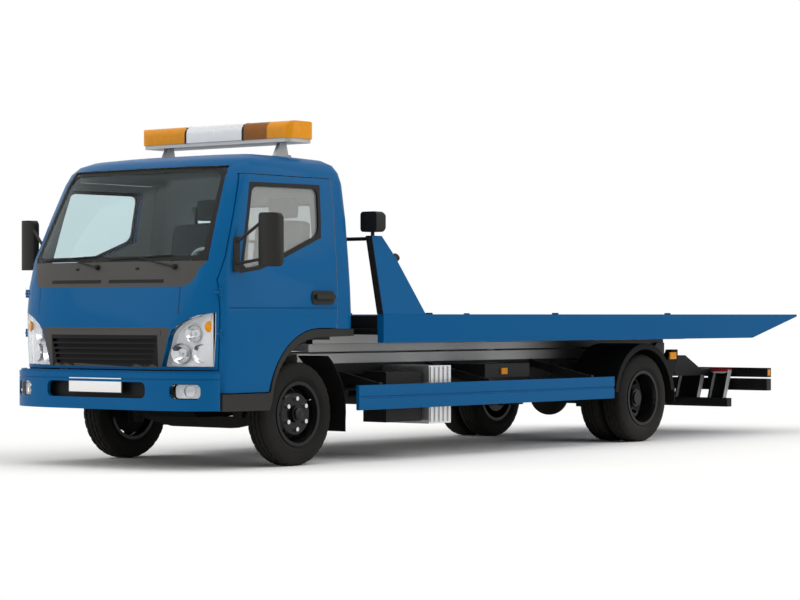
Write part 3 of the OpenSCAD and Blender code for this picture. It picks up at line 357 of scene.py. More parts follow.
class Shape:
    """A piece in the making: bmesh operators in the truck's frame."""

    def __init__(self) -> None:
        """Starts an empty mesh."""
        self.bm = bmesh.new()

    def round_edges(self, verts: Iterable[bmesh.types.BMVert], width: float, sharp: float = 0.5) -> None:
        """Bevels the sharp edges between some vertices.

        Args:
            verts: the vertices of one closed form.
            width: breadth of the bevel, nothing where 0.
            sharp: edges that turn by more than this, in radians, are taken.
        """
        if width <= 0:
            return
        chosen = set(verts)
        edges = [e for e in self.bm.edges if e.verts[0] in chosen and e.verts[1] in chosen
                 and e.calc_face_angle(0.0) > sharp]
        bmesh.ops.bevel(self.bm, geom=edges, offset=width, segments=2, profile=0.5,
                        affect="EDGES", clamp_overlap=True, material=-1)

    def box(self, lo: Vector, hi: Vector, bevel: float = 0.0) -> "Shape":
        """Adds a block between two corners.

        Args:
            lo: one corner.
            hi: the other corner.
            bevel: breadth of the rounded edges.

        Returns:
            This shape.
        """
        size = hi - lo
        place = Matrix.Translation((lo + hi) / 2)
        place = place @ Matrix.Diagonal((abs(size.x), abs(size.y), abs(size.z), 1.0))
        verts = bmesh.ops.create_cube(self.bm, size=1.0, matrix=place)["verts"]
        self.round_edges(verts, bevel)
        return self

    def rod(self, a: Vector, b: Vector, r: float, r2: float | None = None, sides: int = 16,
            bevel: float = 0.0) -> "Shape":
        """Adds a round bar or cone from a to b.

        Args:
            a: start.
            b: end.
            r: radius at the start.
            r2: radius at the end, the same where left out.
            sides: flats round the bar.
            bevel: breadth of the rounded rims.

        Returns:
            This shape.
        """
        axis = b - a
        place = Matrix.Translation((a + b) / 2) @ turned(axis)
        verts = bmesh.ops.create_cone(self.bm, cap_ends=True, segments=sides, radius1=r,
                                      radius2=r if r2 is None else r2, depth=axis.length,
                                      matrix=place)["verts"]
        self.round_edges(verts, bevel, 1.0)
        return self

    def pipe(self, line: Sequence[Vector], r: float, sides: int) -> "Shape":
        """Adds a bent round bar through some points.

        Args:
            line: points of the middle line.
            r: radius.
            sides: flats round the bar.

        Returns:
            This shape.
        """
        last = len(line) - 1
        ways = [(line[min(i + 1, last)] - line[max(i - 1, 0)]).normalized() for i in range(len(line))]
        ring = bmesh.ops.create_circle(self.bm, cap_ends=True, segments=sides, radius=r,
                                       matrix=Matrix.Translation(line[0]) @ turned(ways[0]))["verts"]
        for i in range(1, len(line)):
            edges = [e for e in self.bm.edges if e.verts[0] in ring and e.verts[1] in ring]
            made = bmesh.ops.extrude_edge_only(self.bm, edges=edges)["geom"]
            ring = [v for v in made if isinstance(v, bmesh.types.BMVert)]
            spin = ways[i - 1].rotation_difference(ways[i]).to_matrix()
            for v in ring:
                v.co = spin @ (v.co - line[i - 1]) + line[i]
        self.bm.faces.new(ring)
        return self

    def slab(self, outline: Sequence[Vector], way: Vector) -> "Shape":
        """Adds a plate: an outline pushed along a direction.

        Args:
            outline: corners in order.
            way: direction and thickness.

        Returns:
            This shape.
        """
        verts = [self.bm.verts.new(p) for p in outline]
        made = bmesh.ops.extrude_face_region(self.bm, geom=[self.bm.faces.new(verts)])["geom"]
        moved = [v for v in made if isinstance(v, bmesh.types.BMVert)]
        bmesh.ops.translate(self.bm, verts=moved, vec=way)
        faces = {f for v in verts + moved for f in v.link_faces}
        bmesh.ops.recalc_face_normals(self.bm, faces=list(faces))
        return self

    def spun(self, profile: Sequence[Point], centre: Vector, axis: Vector, steps: int = 48,
             closed: bool = True) -> "Shape":
        """Adds a turned form.

        Args:
            profile: distance along the axis and radius, in order.
            centre: a point on the axis.
            axis: direction of the axis.
            steps: flats round the form.
            closed: join the last point of the profile to the first.

        Returns:
            This shape.
        """
        along = axis.normalized()
        out = along.orthogonal().normalized()
        verts = [self.bm.verts.new(centre + along * d + out * r) for d, r in profile]
        edges = [self.bm.edges.new(pair) for pair in zip(verts, verts[1:])]
        if closed:
            edges.append(self.bm.edges.new((verts[-1], verts[0])))
        bmesh.ops.spin(self.bm, geom=verts + edges, cent=centre, axis=along, dvec=(0, 0, 0),
                       angle=2 * math.pi, steps=steps, use_merge=True, use_duplicate=False)
        bmesh.ops.remove_doubles(self.bm, verts=self.bm.verts, dist=1e-6)
        bmesh.ops.recalc_face_normals(self.bm, faces=self.bm.faces)
        return self

    def band(self, outer: Sequence[Vector], inner: Sequence[Vector], way: Vector) -> "Shape":
        """Adds a closed frame between two rings of points with the same count.

        Args:
            outer: outer ring.
            inner: inner ring.
            way: direction and thickness.

        Returns:
            This shape.
        """
        edges: list[bmesh.types.BMEdge] = []
        for ring in (outer, inner):
            verts = [self.bm.verts.new(p) for p in ring]
            edges += [self.bm.edges.new((verts[i - 1], verts[i])) for i in range(len(verts))]
        faces = bmesh.ops.bridge_loops(self.bm, edges=edges)["faces"]
        made = bmesh.ops.extrude_face_region(self.bm, geom=faces)["geom"]
        bmesh.ops.translate(self.bm, verts=[v for v in made if isinstance(v, bmesh.types.BMVert)], vec=way)
        bmesh.ops.recalc_face_normals(self.bm, faces=self.bm.faces)
        return self

    def strip(self, upper: Sequence[Vector], lower: Sequence[Vector], way: Vector) -> "Shape":
        """Adds a thin closed strip between two lines of points.

        Args:
            upper: one long edge.
            lower: the other long edge, with the same count.
            way: direction and thickness.

        Returns:
            This shape.
        """
        ring = [*upper, *reversed(lower)]
        across = [*lower, *reversed(upper)]
        return self.band(ring, [p.lerp(q, 0.5) for p, q in zip(ring, across)], way)

    def flipped(self, sign: float) -> "Shape":
        """Turns the form over to the other side.

        Args:
            sign: 1 to leave it on the left, -1 for the right.

        Returns:
            This shape.
        """
        if sign < 0:
            bmesh.ops.scale(self.bm, vec=(1.0, -1.0, 1.0), verts=self.bm.verts)
            bmesh.ops.reverse_faces(self.bm, faces=self.bm.faces)
        return self

    def done(self, name: str, body: str, finish: Finish, smooth: float = 40.0,
             replaces: Sequence[str] = ()) -> bpy.types.Object:
        """Makes the piece, gives it its finish and lets it ride.

        Args:
            name: the piece's name.
            body: the body that carries it.
            finish: its finish.
            smooth: edges flatter than this angle are shaded round.
            replaces: CAD nodes that it stands for.

        Returns:
            The piece.
        """
        mesh = bpy.data.meshes.new(name)
        self.bm.to_mesh(mesh)
        self.bm.free()
        piece = bpy.data.objects.new(name, mesh)
        bpy.context.scene.collection.objects.link(piece)
        mesh.materials.append(finish.material())
        shade(piece, smooth)
        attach(piece, body)
        if replaces:
            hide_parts(*replaces)
        LOG.info("piece %s on %s: %d faces", name, body, len(mesh.polygons))
        return piece


def smooth_faces(mesh: bpy.types.Mesh) -> None:
    """Shades every face of a mesh round."""
    mesh.polygons.foreach_set("use_smooth", [True] * len(mesh.polygons))


def shade(piece: bpy.types.Object, angle: float) -> None:
    """Shades a piece round, apart from its sharp edges.

    Args:
        piece: the piece.
        angle: edges that turn by more than this, in degrees, stay sharp.
    """
    smooth_faces(piece.data)
    split = piece.modifiers.new("edges", "EDGE_SPLIT")
    split.split_angle = math.radians(angle)


def rounded(points: Sequence[Point], radius: float, steps: int = 5, runs: int = 10) -> list[Point]:
    """An outline with rounded corners and evenly divided edges.

    Args:
        points: corners in order.
        radius: how far from a corner the round starts.
        steps: points of each round.
        runs: points of each straight.

    Returns:
        Points in order, the same count for any radius.
    """
    out: list[Point] = []
    count = len(points)
    for i in range(count):
        a, b, c = (Vector(points[(i + k) % count]) for k in (-1, 0, 1))
        p = b + (a - b).normalized() * radius
        q = b + (c - b).normalized() * radius
        for s in range(steps + 1):
            u = s / steps
            out.append(tuple(p * (1 - u) ** 2 + b * 2 * u * (1 - u) + q * u * u))
        end = c + (b - c).normalized() * radius
        out += [tuple(q.lerp(end, k / (runs + 1))) for k in range(1, runs + 1)]
    return out


def inset(points: Sequence[Point], gap: float) -> list[Point]:
    """An outline moved inward.

    Args:
        points: corners in order.
        gap: distance, outward where below zero.

    Returns:
        The moved corners.
    """
    turn = sum(a[0] * b[1] - b[0] * a[1] for a, b in zip(points, list(points[1:]) + [points[0]]))
    sign = 1.0 if turn > 0 else -1.0
    out: list[Point] = []
    count = len(points)
    for i in range(count):
        a, b, c = (Vector(points[(i + k) % count]) for k in (-1, 0, 1))
        n1 = Vector((-(b - a).y, (b - a).x)).normalized() * sign
        n2 = Vector((-(c - b).y, (c - b).x)).normalized() * sign
        way = n1 + n2
        out.append(tuple(b + way * (gap / max(0.2, way.dot(n1)))))
    return out


class Skin:
    """Finds points on the outside of some CAD nodes."""

    def __init__(self, *nodes: str) -> None:
        """Gathers the nodes' faces.

        Args:
            nodes: names of CAD nodes.
        """
        verts: list[Vector] = []
        faces: list[list[int]] = []
        for name in nodes:
            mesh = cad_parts[name].data
            start = len(verts)
            verts += [v.co.copy() for v in mesh.vertices]
            faces += [[start + i for i in p.vertices] for p in mesh.polygons]
        self.tree = BVHTree.FromPolygons(verts, faces)

    def front(self, y: float, z: float, lift: float) -> Vector:
        """A point on or near the foremost skin at some place.

        Args:
            y: millimetres from the truck's middle.
            z: height in millimetres.
            lift: metres ahead of the skin.

        Returns:
            The point, taken from the nearest skin where none lies there.
        """
        start, way = Vector((6.0, y * MM, z * MM)), Vector((-1.0, 0.0, 0.0))
        hit = self.tree.ray_cast(start, way)[0] or self.tree.find_nearest(start + way * 2.0)[0]
        return hit - way * lift


# The CAD nodes' own finishes


class Edge(Enum):
    """How a CAD node's edges are shown."""

    CRISP = 0.0
    SOFT = 0.003
    ROUND = 0.006


@dataclass
class Dress:
    """Gives the CAD nodes their finishes and softened edges."""

    finishes: dict[Finish, str] = field(default_factory=lambda: {
        BLACK: "chassis_frame chassis_fittings underrun_bar tow_eyes cab_floor tilt_barrels bed_fittings "
               "wheel_lift",
        BLUE: "side_guards front_bumper cab_roof cab_back cab_front door_left door_right",
        CAST: "front_axle rear_axle powertrain knuckle_left knuckle_right",
        RIM: "rim_front_left rim_front_right rims_rear_left rims_rear_right",
        RUBBER: "tyre_front_left tyre_front_right tyres_rear_left tyres_rear_right",
        FLARE: "arch_flares door_trim_left door_trim_right",
        BED_BLUE: "bed_frame headboard", UNDER: "subframe tilt_frame",
        GLASS: "cab_glass door_glass_right", REFLECTION_PAINTED_GLASS: "door_glass_left",
        AMBER: "chassis_lamps light_bar_lenses", LENS: "headlamps", COVER: "light_bar", TRIM: "front_trim",
        ALLOY: "tanks", CHROME: "tilt_rods", GUARD: "mudguards", CABIN: "dashboard", CLOTH: "seats"})
    edges: dict[Edge, str] = field(default_factory=lambda: {
        Edge.SOFT: "bed_frame headboard subframe tilt_frame chassis_fittings underrun_bar wheel_lift",
        Edge.ROUND: "side_guards tanks"})
    # Places that tell faces apart: x in millimetres from the front axle, all others in metres
    deck_half: float = 1.06
    well_x: float = -1245.0
    runner_half: float = 0.425
    runner_top: float = 1.05
    gusset_inner: float = 0.93
    bar_base_top: float = 2.3895
    brown_lens: Point = (0.29, 0.5402)
    grille_z: Point = (0.74, 0.95)
    grille_half: float = 0.535
    lamp_well_x: float = 906.0
    lamp_well_top: float = 1.11
    cabin_middle: Vector = field(default_factory=lambda: at(150, 0, 1500))
    tail_x: float = -6000.0
    tail_lamp_half: float = 0.99
    cradle_x: float = -6345.0
    cradle_z: Point = (0.33, 0.571)
    nuts: int = 6
    nut_circle: float = 0.111125
    nut_reach: float = 0.0185

    def node(self, name: str, finish: Finish) -> None:
        """Dresses one node.

        Args:
            name: the CAD node.
            finish: its main finish.
        """
        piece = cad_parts[name]
        piece.data.materials.clear()
        piece.data.materials.append(finish.material())
        weld = piece.modifiers.new("weld", "WELD")
        weld.merge_threshold = 2e-5
        edge = next((e for e, names in self.edges.items() if name in names.split()), Edge.CRISP)
        if edge is Edge.CRISP:
            shade(piece, 32.0)
            return
        smooth_faces(piece.data)
        bevel = piece.modifiers.new("bevel", "BEVEL")
        bevel.width = edge.value
        bevel.segments = 2
        bevel.limit_method = "ANGLE"
        bevel.angle_limit = math.radians(35)
        normals = piece.modifiers.new("normals", "WEIGHTED_NORMAL")
        normals.keep_sharp = True

    def faces(self, name: str, finish: Finish, rule: Callable[[Vector, Vector], bool]) -> None:
        """Gives some faces of a node another finish.

        Args:
            name: the CAD node.
            finish: the other finish.
            rule: tells by a face's middle and normal whether it takes it.
        """
        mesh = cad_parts[name].data
        mesh.materials.append(finish.material())
        slot = len(mesh.materials) - 1
        for face in mesh.polygons:
            if rule(face.center, face.normal):
                face.material_index = slot

    def build(self) -> None:
        """Dresses every node, then the faces that differ from the rest of their node."""
        for finish, names in self.finishes.items():
            for name in names.split():
                self.node(name, finish)
        self.dress_bed()
        self.dress_cab()
        self.dress_chassis()
        for side, sign in SIDES:
            self.faces("rim_front_" + side, CHROME, self.nut_rule(FRONT_AXLE, sign, 0.85))
            self.faces("rims_rear_" + side, CHROME, self.nut_rule(at(REAR_AXLE, 0, 0).x, sign, 0.78))

    def dress_bed(self) -> None:
        """The deck, the winch's well, the runners, and the headboard's inner and forward faces, whose black
        on the gussets' fronts is painted shade.
        """
        half, well = self.deck_half, at(self.well_x, 0, 0).x
        self.faces("bed_frame", DECK, lambda c, n: n.z > FACING and abs(c.y) < half)
        self.faces("bed_frame", BLACK, lambda c, n: c.x > well and abs(c.y) < half - MM)
        self.faces("bed_frame", RUNNER, lambda c, n: abs(n.y) > FACING and c.z < self.runner_top
                   and abs(c.y) < self.runner_half)
        # Inner faces are black; the black of the forward faces is painted shade from the cab's shadow on the
        # gussets' fronts
        self.faces("headboard", BLACK, lambda c, n: abs(c.y) < self.gusset_inner or n.x > FACING)

    def dress_cab(self) -> None:
        """The light bar, the grille, the inside of the cab and the headlamps' wells."""
        well = at(self.lamp_well_x, 0, 0).x
        (brown_0, brown_1), (grille_0, grille_1) = self.brown_lens, self.grille_z
        self.faces("light_bar", STEEL, lambda c, n: c.z < self.bar_base_top)
        self.faces("light_bar_lenses", BROWN, lambda c, n: brown_0 < c.y < brown_1)
        self.faces("front_trim", MESH, lambda c, n: grille_0 < c.z < grille_1 and abs(c.y) < self.grille_half)
        for name in ("cab_floor", "cab_roof", "cab_back", "cab_front", "door_left", "door_right"):
            self.faces(name, CABIN, lambda c, n: n.dot((self.cabin_middle - c).normalized()) > 0.35)
        self.faces("cab_front", COVER, lambda c, n: abs(c.x - well) < MM and n.x > FACING
                   and c.z < self.lamp_well_top)

    def dress_chassis(self) -> None:
        """The lamps, the right tank and the cradles of the wheel lift."""
        tail, cradle = at(self.tail_x, 0, 0).x, at(self.cradle_x, 0, 0).x
        plate_z, red_z = self.cradle_z
        self.faces("chassis_lamps", LENS, lambda c, n: c.x > FRONT_AXLE)
        self.faces("chassis_lamps", RED, lambda c, n: c.x < tail and abs(c.y) < self.tail_lamp_half)
        self.faces("tanks", BLACK, lambda c, n: c.y < 0)
        self.faces("wheel_lift", PLATE, lambda c, n: abs(n.y) > FACING and c.z > plate_z and c.x < cradle)
        self.faces("wheel_lift", RED, lambda c, n: c.z > red_z)

    def nut_rule(self, axle: float, sign: float, start: float) -> Callable[[Vector, Vector], bool]:
        """Tells the wheel nuts' faces from the rim's.

        Args:
            axle: the axle's place along X.
            sign: 1 on the left, -1 on the right.
            start: the nuts lie further out than this.

        Returns:
            A rule for faces().
        """
        ring, hub = self.nut_circle, HUB * MM
        turns = [2 * math.pi * (k + 0.5) / self.nuts for k in range(self.nuts)]
        nuts = [(axle + ring * math.cos(a), hub + ring * math.sin(a)) for a in turns]

        def rule(c: Vector, n: Vector) -> bool:
            """Whether a face lies on a nut."""
            return c.y * sign >= start and any(math.hypot(c.x - x, c.z - z) < self.nut_reach for x, z in nuts)

        return rule


# Sub-assemblies


@dataclass
class Tyre:
    """One tyre with ribs, grooves and a shaped side wall; stands for the plain CAD tyre."""

    radius: float = 0.3765
    half_width: float = 0.1025
    bead: float = 0.2229
    groove: float = 0.009
    cut: float = 0.006
    shoulder: Point = (0.04, 0.0835)
    crown_half: float = 0.034
    steps: int = 150
    pitch: int = 5

    def profile(self) -> list[Point]:
        """The cross-section, from bead to bead.

        Returns:
            Distance along the axle and radius of each point.
        """
        r, w, b = self.radius, self.half_width, self.bead
        half = [(0.0718, b), (0.0796, b + 0.014), (w - 0.012, b + 0.03), (w - 0.004, b + 0.046),
                (w - 0.0015, b + 0.052), (w - 0.003, b + 0.058), (w, b + 0.07), (w - 0.001, r - 0.075),
                (w - 0.003, r - 0.06), (w - 0.009, r - 0.036), (w - 0.014, r - 0.022),
                (w - 0.02, r - 0.012), (w - 0.028, r - 0.006), (w - 0.044, r),
                (0.044, r), (0.0425, r - self.groove), (0.0345, r - self.groove), (0.033, r),
                (0.006, r), (0.005, r - self.groove)]
        return half + [(-d, h) for d, h in reversed(half)]

    def build(self, name: str, body: str, centres: Sequence[Vector], node: str) -> None:
        """Makes the tyre or the pair of tyres.

        Args:
            name: the piece's name.
            body: the wheel's body.
            centres: middle of each tyre.
            node: the CAD node it stands for.
        """
        shape = Shape()
        inner, outer = self.shoulder
        for centre in centres:
            shape.spun(self.profile(), centre, Vector((0, 1, 0)), self.steps)
            for v in shape.bm.verts:
                rel = v.co - centre
                away = math.hypot(rel.x, rel.z)
                step = round(math.atan2(rel.z, rel.x) / (2 * math.pi) * self.steps) % self.steps
                lug = step % self.pitch == 0 and inner < abs(rel.y) < outer and away > self.radius - 0.013
                sipe = (step + (2 if rel.y > 0 else 0)) % self.pitch == 0 and abs(rel.y) < self.crown_half
                if lug or (sipe and away > self.radius - 0.002):
                    shrink = (away - self.cut) / away
                    v.co.x, v.co.z = centre.x + rel.x * shrink, centre.z + rel.z * shrink
        shape.done(name, body, RUBBER, 30.0, [node])


@dataclass
class Wheels:
    """All the tyres, and the caps, dust shields and valves of the front wheels."""

    front_y: float = 832.5
    rear_y: tuple[float, float] = (662.5, 897.5)

    def build(self) -> None:
        """Makes the tyres on both sides."""
        for side, sign in SIDES:
            Tyre().build("tread_front_" + side, f"front_{side}_wheel",
                         [at(0, sign * self.front_y, HUB)], "tyre_front_" + side)
            Tyre().build("treads_rear_" + side, f"rear_{side}_wheels",
                         [at(REAR_AXLE, sign * y, HUB) for y in self.rear_y], "tyres_rear_" + side)
            self.hub(side, sign)

    def hub(self, side: str, sign: float) -> None:
        """Makes the hub's cap, the brake's dust shield and the tyre's valve.

        Args:
            side: left or right.
            sign: 1 on the left, -1 on the right.
        """
        out = Vector((0, sign, 0))
        face = at(0, sign * (self.front_y + 98), HUB)
        profile = [(0.0, 0.0), (0.0, 0.04), (0.002, 0.042), (0.0035, 0.038), (0.0045, 0.02), (0.005, 0.0)]
        cap = Shape().spun(profile, face, out, 28, False)
        cap.done("hub_cap_" + side, f"front_{side}_wheel", RIM)
        profile = [(0.0, 0.03), (0.0, 0.17), (0.012, 0.186), (0.016, 0.186), (0.006, 0.168), (0.004, 0.03)]
        shield = Shape().spun(profile, at(0, sign * (self.front_y - 66), HUB), out, 48)
        shield.done("brake_shield_" + side, f"{side}_knuckle", GUARD)
        a = at(-140, sign * (self.front_y + 38), HUB + 92)
        valve = Shape().rod(a, a + Vector((-0.012, 0.04 * sign, 0.008)), 0.006, 0.004, 10, 0.001)
        valve.done("valve_" + side, f"front_{side}_wheel", CHROME)


@dataclass
class Screens:
    """Rubber frames and dark borders of the cab's windows."""

    window: tuple[Point, ...] = ((522, 2032), (-235, 2038), (-202, 1657), (200, 1510), (485, 1415),
                                 (700, 1387))
    screen: tuple[Point, ...] = ((-862, 1473), (862, 1473), (778, 2150), (-778, 2150))
    rear: tuple[Point, ...] = ((-638, 1482), (638, 1482), (598, 1928), (-598, 1928))
    back_x: float = -545.5
    cab_half: float = 997.0
    # Heights of the cab's side, and how far it leans in there
    lean: tuple[Point, ...] = ((1300, 7), (1500, 22), (1800, 49), (2060, 82), (2140, 102))

    def wall(self, z: float) -> float:
        """The door's outside at a level.

        Args:
            z: height in millimetres.

        Returns:
            Millimetres from the truck's middle.
        """
        for (z0, in0), (z1, in1) in zip(self.lean, self.lean[1:]):
            if z <= z1:
                return self.cab_half - in0 - (in1 - in0) * (z - z0) / (z1 - z0)
        return self.cab_half - self.lean[-1][1]

    @staticmethod
    def rings(corners: Sequence[Point], sizes: Sequence[Point], runs: int = 10) -> list[list[Point]]:
        """The outlines of a frame, one for each pair of gap and corner radius in sizes."""
        return [rounded(inset(corners, gap), radius, runs=runs) for gap, radius in sizes]

    def build(self) -> None:
        """Makes the frames of both doors, the windscreen and the rear window."""
        for side, sign in SIDES:
            rings = self.rings(self.window, ((-3, 4), (26, 60)))
            outer, inner = ([at(x, self.wall(z) - 12, z) for x, z in ring] for ring in rings)
            seal = Shape().band(outer, inner, Vector((0, 0.0135, 0))).flipped(sign)
            seal.done("window_seal_" + side, f"{side}_door", SEAL, 35.0)
        glass = Skin("cab_glass")
        rings = self.rings(self.screen, ((1, 3), (34, 70)), 16)
        outer, inner = ([glass.front(y, z, 0.0015) for y, z in ring] for ring in rings)
        Shape().band(outer, inner, Vector((0.004, 0, 0))).done("screen_border", "cab", SEAL, 35.0)
        rings = self.rings(self.rear, ((-16, 30), (18, 60)))
        outer, inner = ([at(self.back_x, y, z) for y, z in ring] for ring in rings)
        Shape().band(outer, inner, Vector((-0.008, 0, 0))).done("rear_window_seal", "cab", SEAL, 35.0)


@dataclass
class Face:
    """The cab's front: wipers, air slots, grille, lamps and blank plate."""

    lamp: tuple[Point, ...] = ((562, 732), (940, 732), (940, 1106), (930, 1108), (850, 1094), (770, 1066),
                               (700, 1028), (650, 984), (624, 930))
    fog: tuple[Point, ...] = ((696, 510), (904, 510), (904, 608), (696, 608))
    bowls: tuple[tuple[float, float, float], ...] = ((668, 822, 66), (818, 822, 62), (768, 960, 56))
    wipers: tuple[tuple[Point, Point, Point, Point], ...] = (
        ((-95, 1432), (-420, 1500), (-710, 1489), (-130, 1511)),
        ((637, 1430), (300, 1500), (10, 1489), (590, 1511)))
    slot_z: Point = (1342, 1318)
    strip_z: Point = (985, 952)
    comb_x: float = 1028.0
    cell: float = 20.0
    lamp_middle: Point = (790.0, 890.0)
    lamp_well_x: float = 908.0
    # How far a ring of the lamp's back reaches, and how deep it lies behind the lens
    lamp_rings: tuple[Point, ...] = ((1.0, 0.05), (0.97, 0.085), (0.8, 0.09), (0.6, 0.094), (0.4, 0.098),
                                     (0.2, 0.102), (0.02, 0.105))
    bowl_depth: float = 0.062
    indicator: Point = (896.0, 1010.0)
    fog_middle: Point = (800.0, 559.0)
    plate_x: float = 1145.0
    liner: tuple[Point, ...] = ((1092, 560), (1104, 400), (1112, 200), (1114, 0), (1112, -200),
                                (1104, -400), (1092, -560))
    pan_half: float = 240.0
    seam_y: float = 702.0

    def build(self) -> None:
        """Makes every piece of the front."""
        self.make_wipers()
        self.make_slots()
        self.make_grille()
        self.make_lamps()
        self.make_plate()
        self.make_underside()
        self.make_seams()

    def make_wipers(self) -> None:
        """Two arms with blades, resting on the windscreen."""
        skin = Skin("cab_glass", "front_trim")
        shape = Shape()
        for (py, pz), (ty, tz), (ay, az), (by, bz) in self.wipers:
            pivot = skin.front(py, pz, 0.0)
            shape.rod(pivot, pivot + Vector((0.03, 0, 0.004)), 0.02, 0.016, 16, 0.003)
            tip = [skin.front(py + (ty - py) * k / 5, pz + (tz - pz) * k / 5, 0.02) for k in range(6)]
            shape.pipe([pivot + Vector((0.022, 0, 0))] + tip[1:], 0.006, 8)
            blade = [skin.front(ay + (by - ay) * k / 10, az + (bz - az) * k / 10, 0.012) for k in range(11)]
            shape.pipe(blade, 0.0055, 6)
            for k in (2, 5, 8):
                shape.rod(blade[k], blade[k] + Vector((0.009, 0, 0)), 0.008, 0.006, 10, 0.001)
        shape.done("wipers", "cab", SEAL)

    def make_slots(self) -> None:
        """The air slots and the washer jets of the panel below the windscreen."""
        skin = Skin("front_trim")
        for name, y0, y1 in (("left", 40, 560), ("right", -560, -40)):
            spots = [y0 + (y1 - y0) * k / 12 for k in range(13)]
            upper, lower = ([skin.front(y, z, 0.0006) for y in spots] for z in self.slot_z)
            Shape().strip(upper, lower, Vector((0.0008, 0, 0))).done("cowl_slot_" + name, "cab", MESH)
        jets = Shape()
        for y in (-300, 300):
            p = skin.front(y, 1420, -0.002)
            jets.box(p - Vector((0.004, 0.014, 0.007)), p + Vector((0.012, 0.014, 0.007)), 0.004)
        jets.done("washer_jets", "cab", SEAL)

    def make_grille(self) -> None:
        """A honeycomb behind the grille's bars, and a bare strip above it."""
        skin = Skin("front_trim")
        comb = Shape()
        profile = [(0.0, 0.0115), (0.0, 0.0092), (0.005, 0.0092), (0.005, 0.0115)]
        for row in range(9):
            for col in range(-24, 25):
                y = (col + 0.5 * (row % 2)) * self.cell
                if abs(y) <= 455 + row * 5:
                    comb.spun(profile, at(self.comb_x, y, 752 + row * self.cell), Vector((1, 0, 0)), 6)
        comb.done("grille_comb", "cab", MESH, 30.0)
        top, low = ([skin.front(y, z, 0.0005) for y in range(-560, 561, 70)] for z in self.strip_z)
        Shape().strip(top, low, Vector((0.003, 0, 0))).done("grille_strip", "cab", TRIM)

    def make_lamps(self) -> None:
        """Reflectors, bulbs and indicators behind the headlamps' lenses."""
        skin = Skin("headlamps", "cab_front")
        middle = Vector(self.lamp_middle)
        well = at(self.lamp_well_x, 0, 0).x
        way = Vector((0.9, 0.35, 0.0)).normalized()

        def behind(y: float, z: float, depth: float) -> Vector:
            """A point behind the lens, kept before the lamp's well.

            Args:
                y: millimetres from the middle.
                z: height in millimetres.
                depth: how far behind the lens, in metres.

            Returns:
                The point.
            """
            point = skin.front(min(y, 926.0), z, -depth)
            point.x = max(point.x, well)
            return point

        for side, sign in SIDES:
            back = Shape()
            rings = [[behind(*(middle + (Vector(p) - middle) * f), depth)
                      for p in rounded(self.lamp, 8, 3, 5)] for f, depth in self.lamp_rings]
            for outer, inner in zip(rings, rings[1:]):
                back.band(outer, inner, Vector((-0.004, 0, 0)))
            back.flipped(sign).done("lamp_back_" + side, "cab", COVER)
            bowls, bulbs = Shape(), Shape()
            for y, z, r in self.bowls:
                centre = behind(y, z, self.bowl_depth)
                steps = [(-0.04 + 0.04 * (k / 7) ** 2, r * MM * k / 7) for k in range(1, 8)]
                bowls.spun(steps + [(0.003, r * MM + 0.004), (-0.006, r * MM + 0.005), (-0.046, 0.012)],
                           centre, way, 32)
                bulbs.rod(centre - way * 0.036, centre - way * 0.008, 0.011, 0.008, 12, 0.003)
            bowls.flipped(sign).done("lamp_bowls_" + side, "cab", CHROME)
            bulbs.flipped(sign).done("lamp_bulbs_" + side, "cab", COVER)
            profile = [(-0.03, 0.002), (-0.03, 0.03), (-0.004, 0.04), (0.003, 0.034), (0.008, 0.018),
                       (0.01, 0.002)]
            place = behind(*self.indicator, self.bowl_depth)
            amber = Shape().spun(profile, place, Vector((0.75, 0.6, 0.0)), 28)
            amber.flipped(sign).done("indicator_" + side, "cab", AMBER)
            self.make_fog_lamp(side, sign)

    def make_fog_lamp(self, side: str, sign: float) -> None:
        """The reflector behind one fog lamp's lens.

        Args:
            side: left or right.
            sign: 1 on the left, -1 on the right.
        """
        skin = Skin("chassis_lamps")
        middle = Vector(self.fog_middle)
        back = Shape()
        rings = [[skin.front(*(middle + (Vector(p) - middle) * f), -0.056 - 0.012 * (1 - f))
                  for p in rounded(self.fog, 30, 4, 4)] for f in (0.97, 0.7, 0.4, 0.02)]
        for outer, inner in zip(rings, rings[1:]):
            back.band(outer, inner, Vector((-0.004, 0, 0)))
        back.flipped(sign).done("fog_back_" + side, "chassis", COVER)
        profile = [(-0.03, 0.004), (-0.026, 0.02), (-0.012, 0.034), (0.0, 0.04), (0.003, 0.044),
                   (-0.006, 0.044), (-0.034, 0.02)]
        bowl = Shape().spun(profile, skin.front(*middle, -0.058), Vector((0.85, 0.5, 0.0)), 28)
        bowl.flipped(sign).done("fog_bowl_" + side, "chassis", CHROME)

    def make_plate(self) -> None:
        """A bare number plate in its holder, and the liner of the bumper's opening."""
        x = self.plate_x
        holder = Shape().box(at(x - 8, -272, 538), at(x - 2, 272, 675), 0.002)
        holder.done("plate_holder", "chassis", SEAL)
        plate = Shape().box(at(x - 2.5, -262, 546), at(x - 0.5, 262, 667), 0.0008)
        plate.done("blank_plate", "chassis", WHITE)
        fore = [at(x - 22, y, 502) for x, y in self.liner]
        aft = [at(x - 30, y, 502) for x, y in reversed(self.liner)]
        Shape().slab(fore + aft, Vector((0, 0, 0.132))).done("bumper_liner", "chassis", MESH)

    def make_underside(self) -> None:
        """The ribbed tray under the bumper, and the guard under the engine's sump."""
        tray = Shape()
        tray.slab([at(1040, -600, 452), at(1040, 600, 452), at(700, 640, 432), at(700, -640, 432)],
                  Vector((0, 0, 0.006)))
        for y in (-560, -190, 190, 560):
            tray.box(at(700, y - 12, 440), at(1030, y + 12, 468), 0.004)
        tray.done("undertray", "chassis", GUARD)
        pan = Shape()
        half = self.pan_half
        pan.slab([at(430, -half, 428), at(430, half, 428), at(330, half, 346), at(330, -half, 346)],
                 Vector((-0.006, 0, 0)))
        pan.box(at(330, -half, 344), at(-150, half, 350), 0.002)
        for y in (-half, half - 8):
            pan.slab([at(430, y, 428), at(330, y, 346), at(-150, y, 346), at(-150, y, 428)],
                     Vector((0, 0.008, 0)))
        pan.done("sump_guard", "chassis", GUARD)

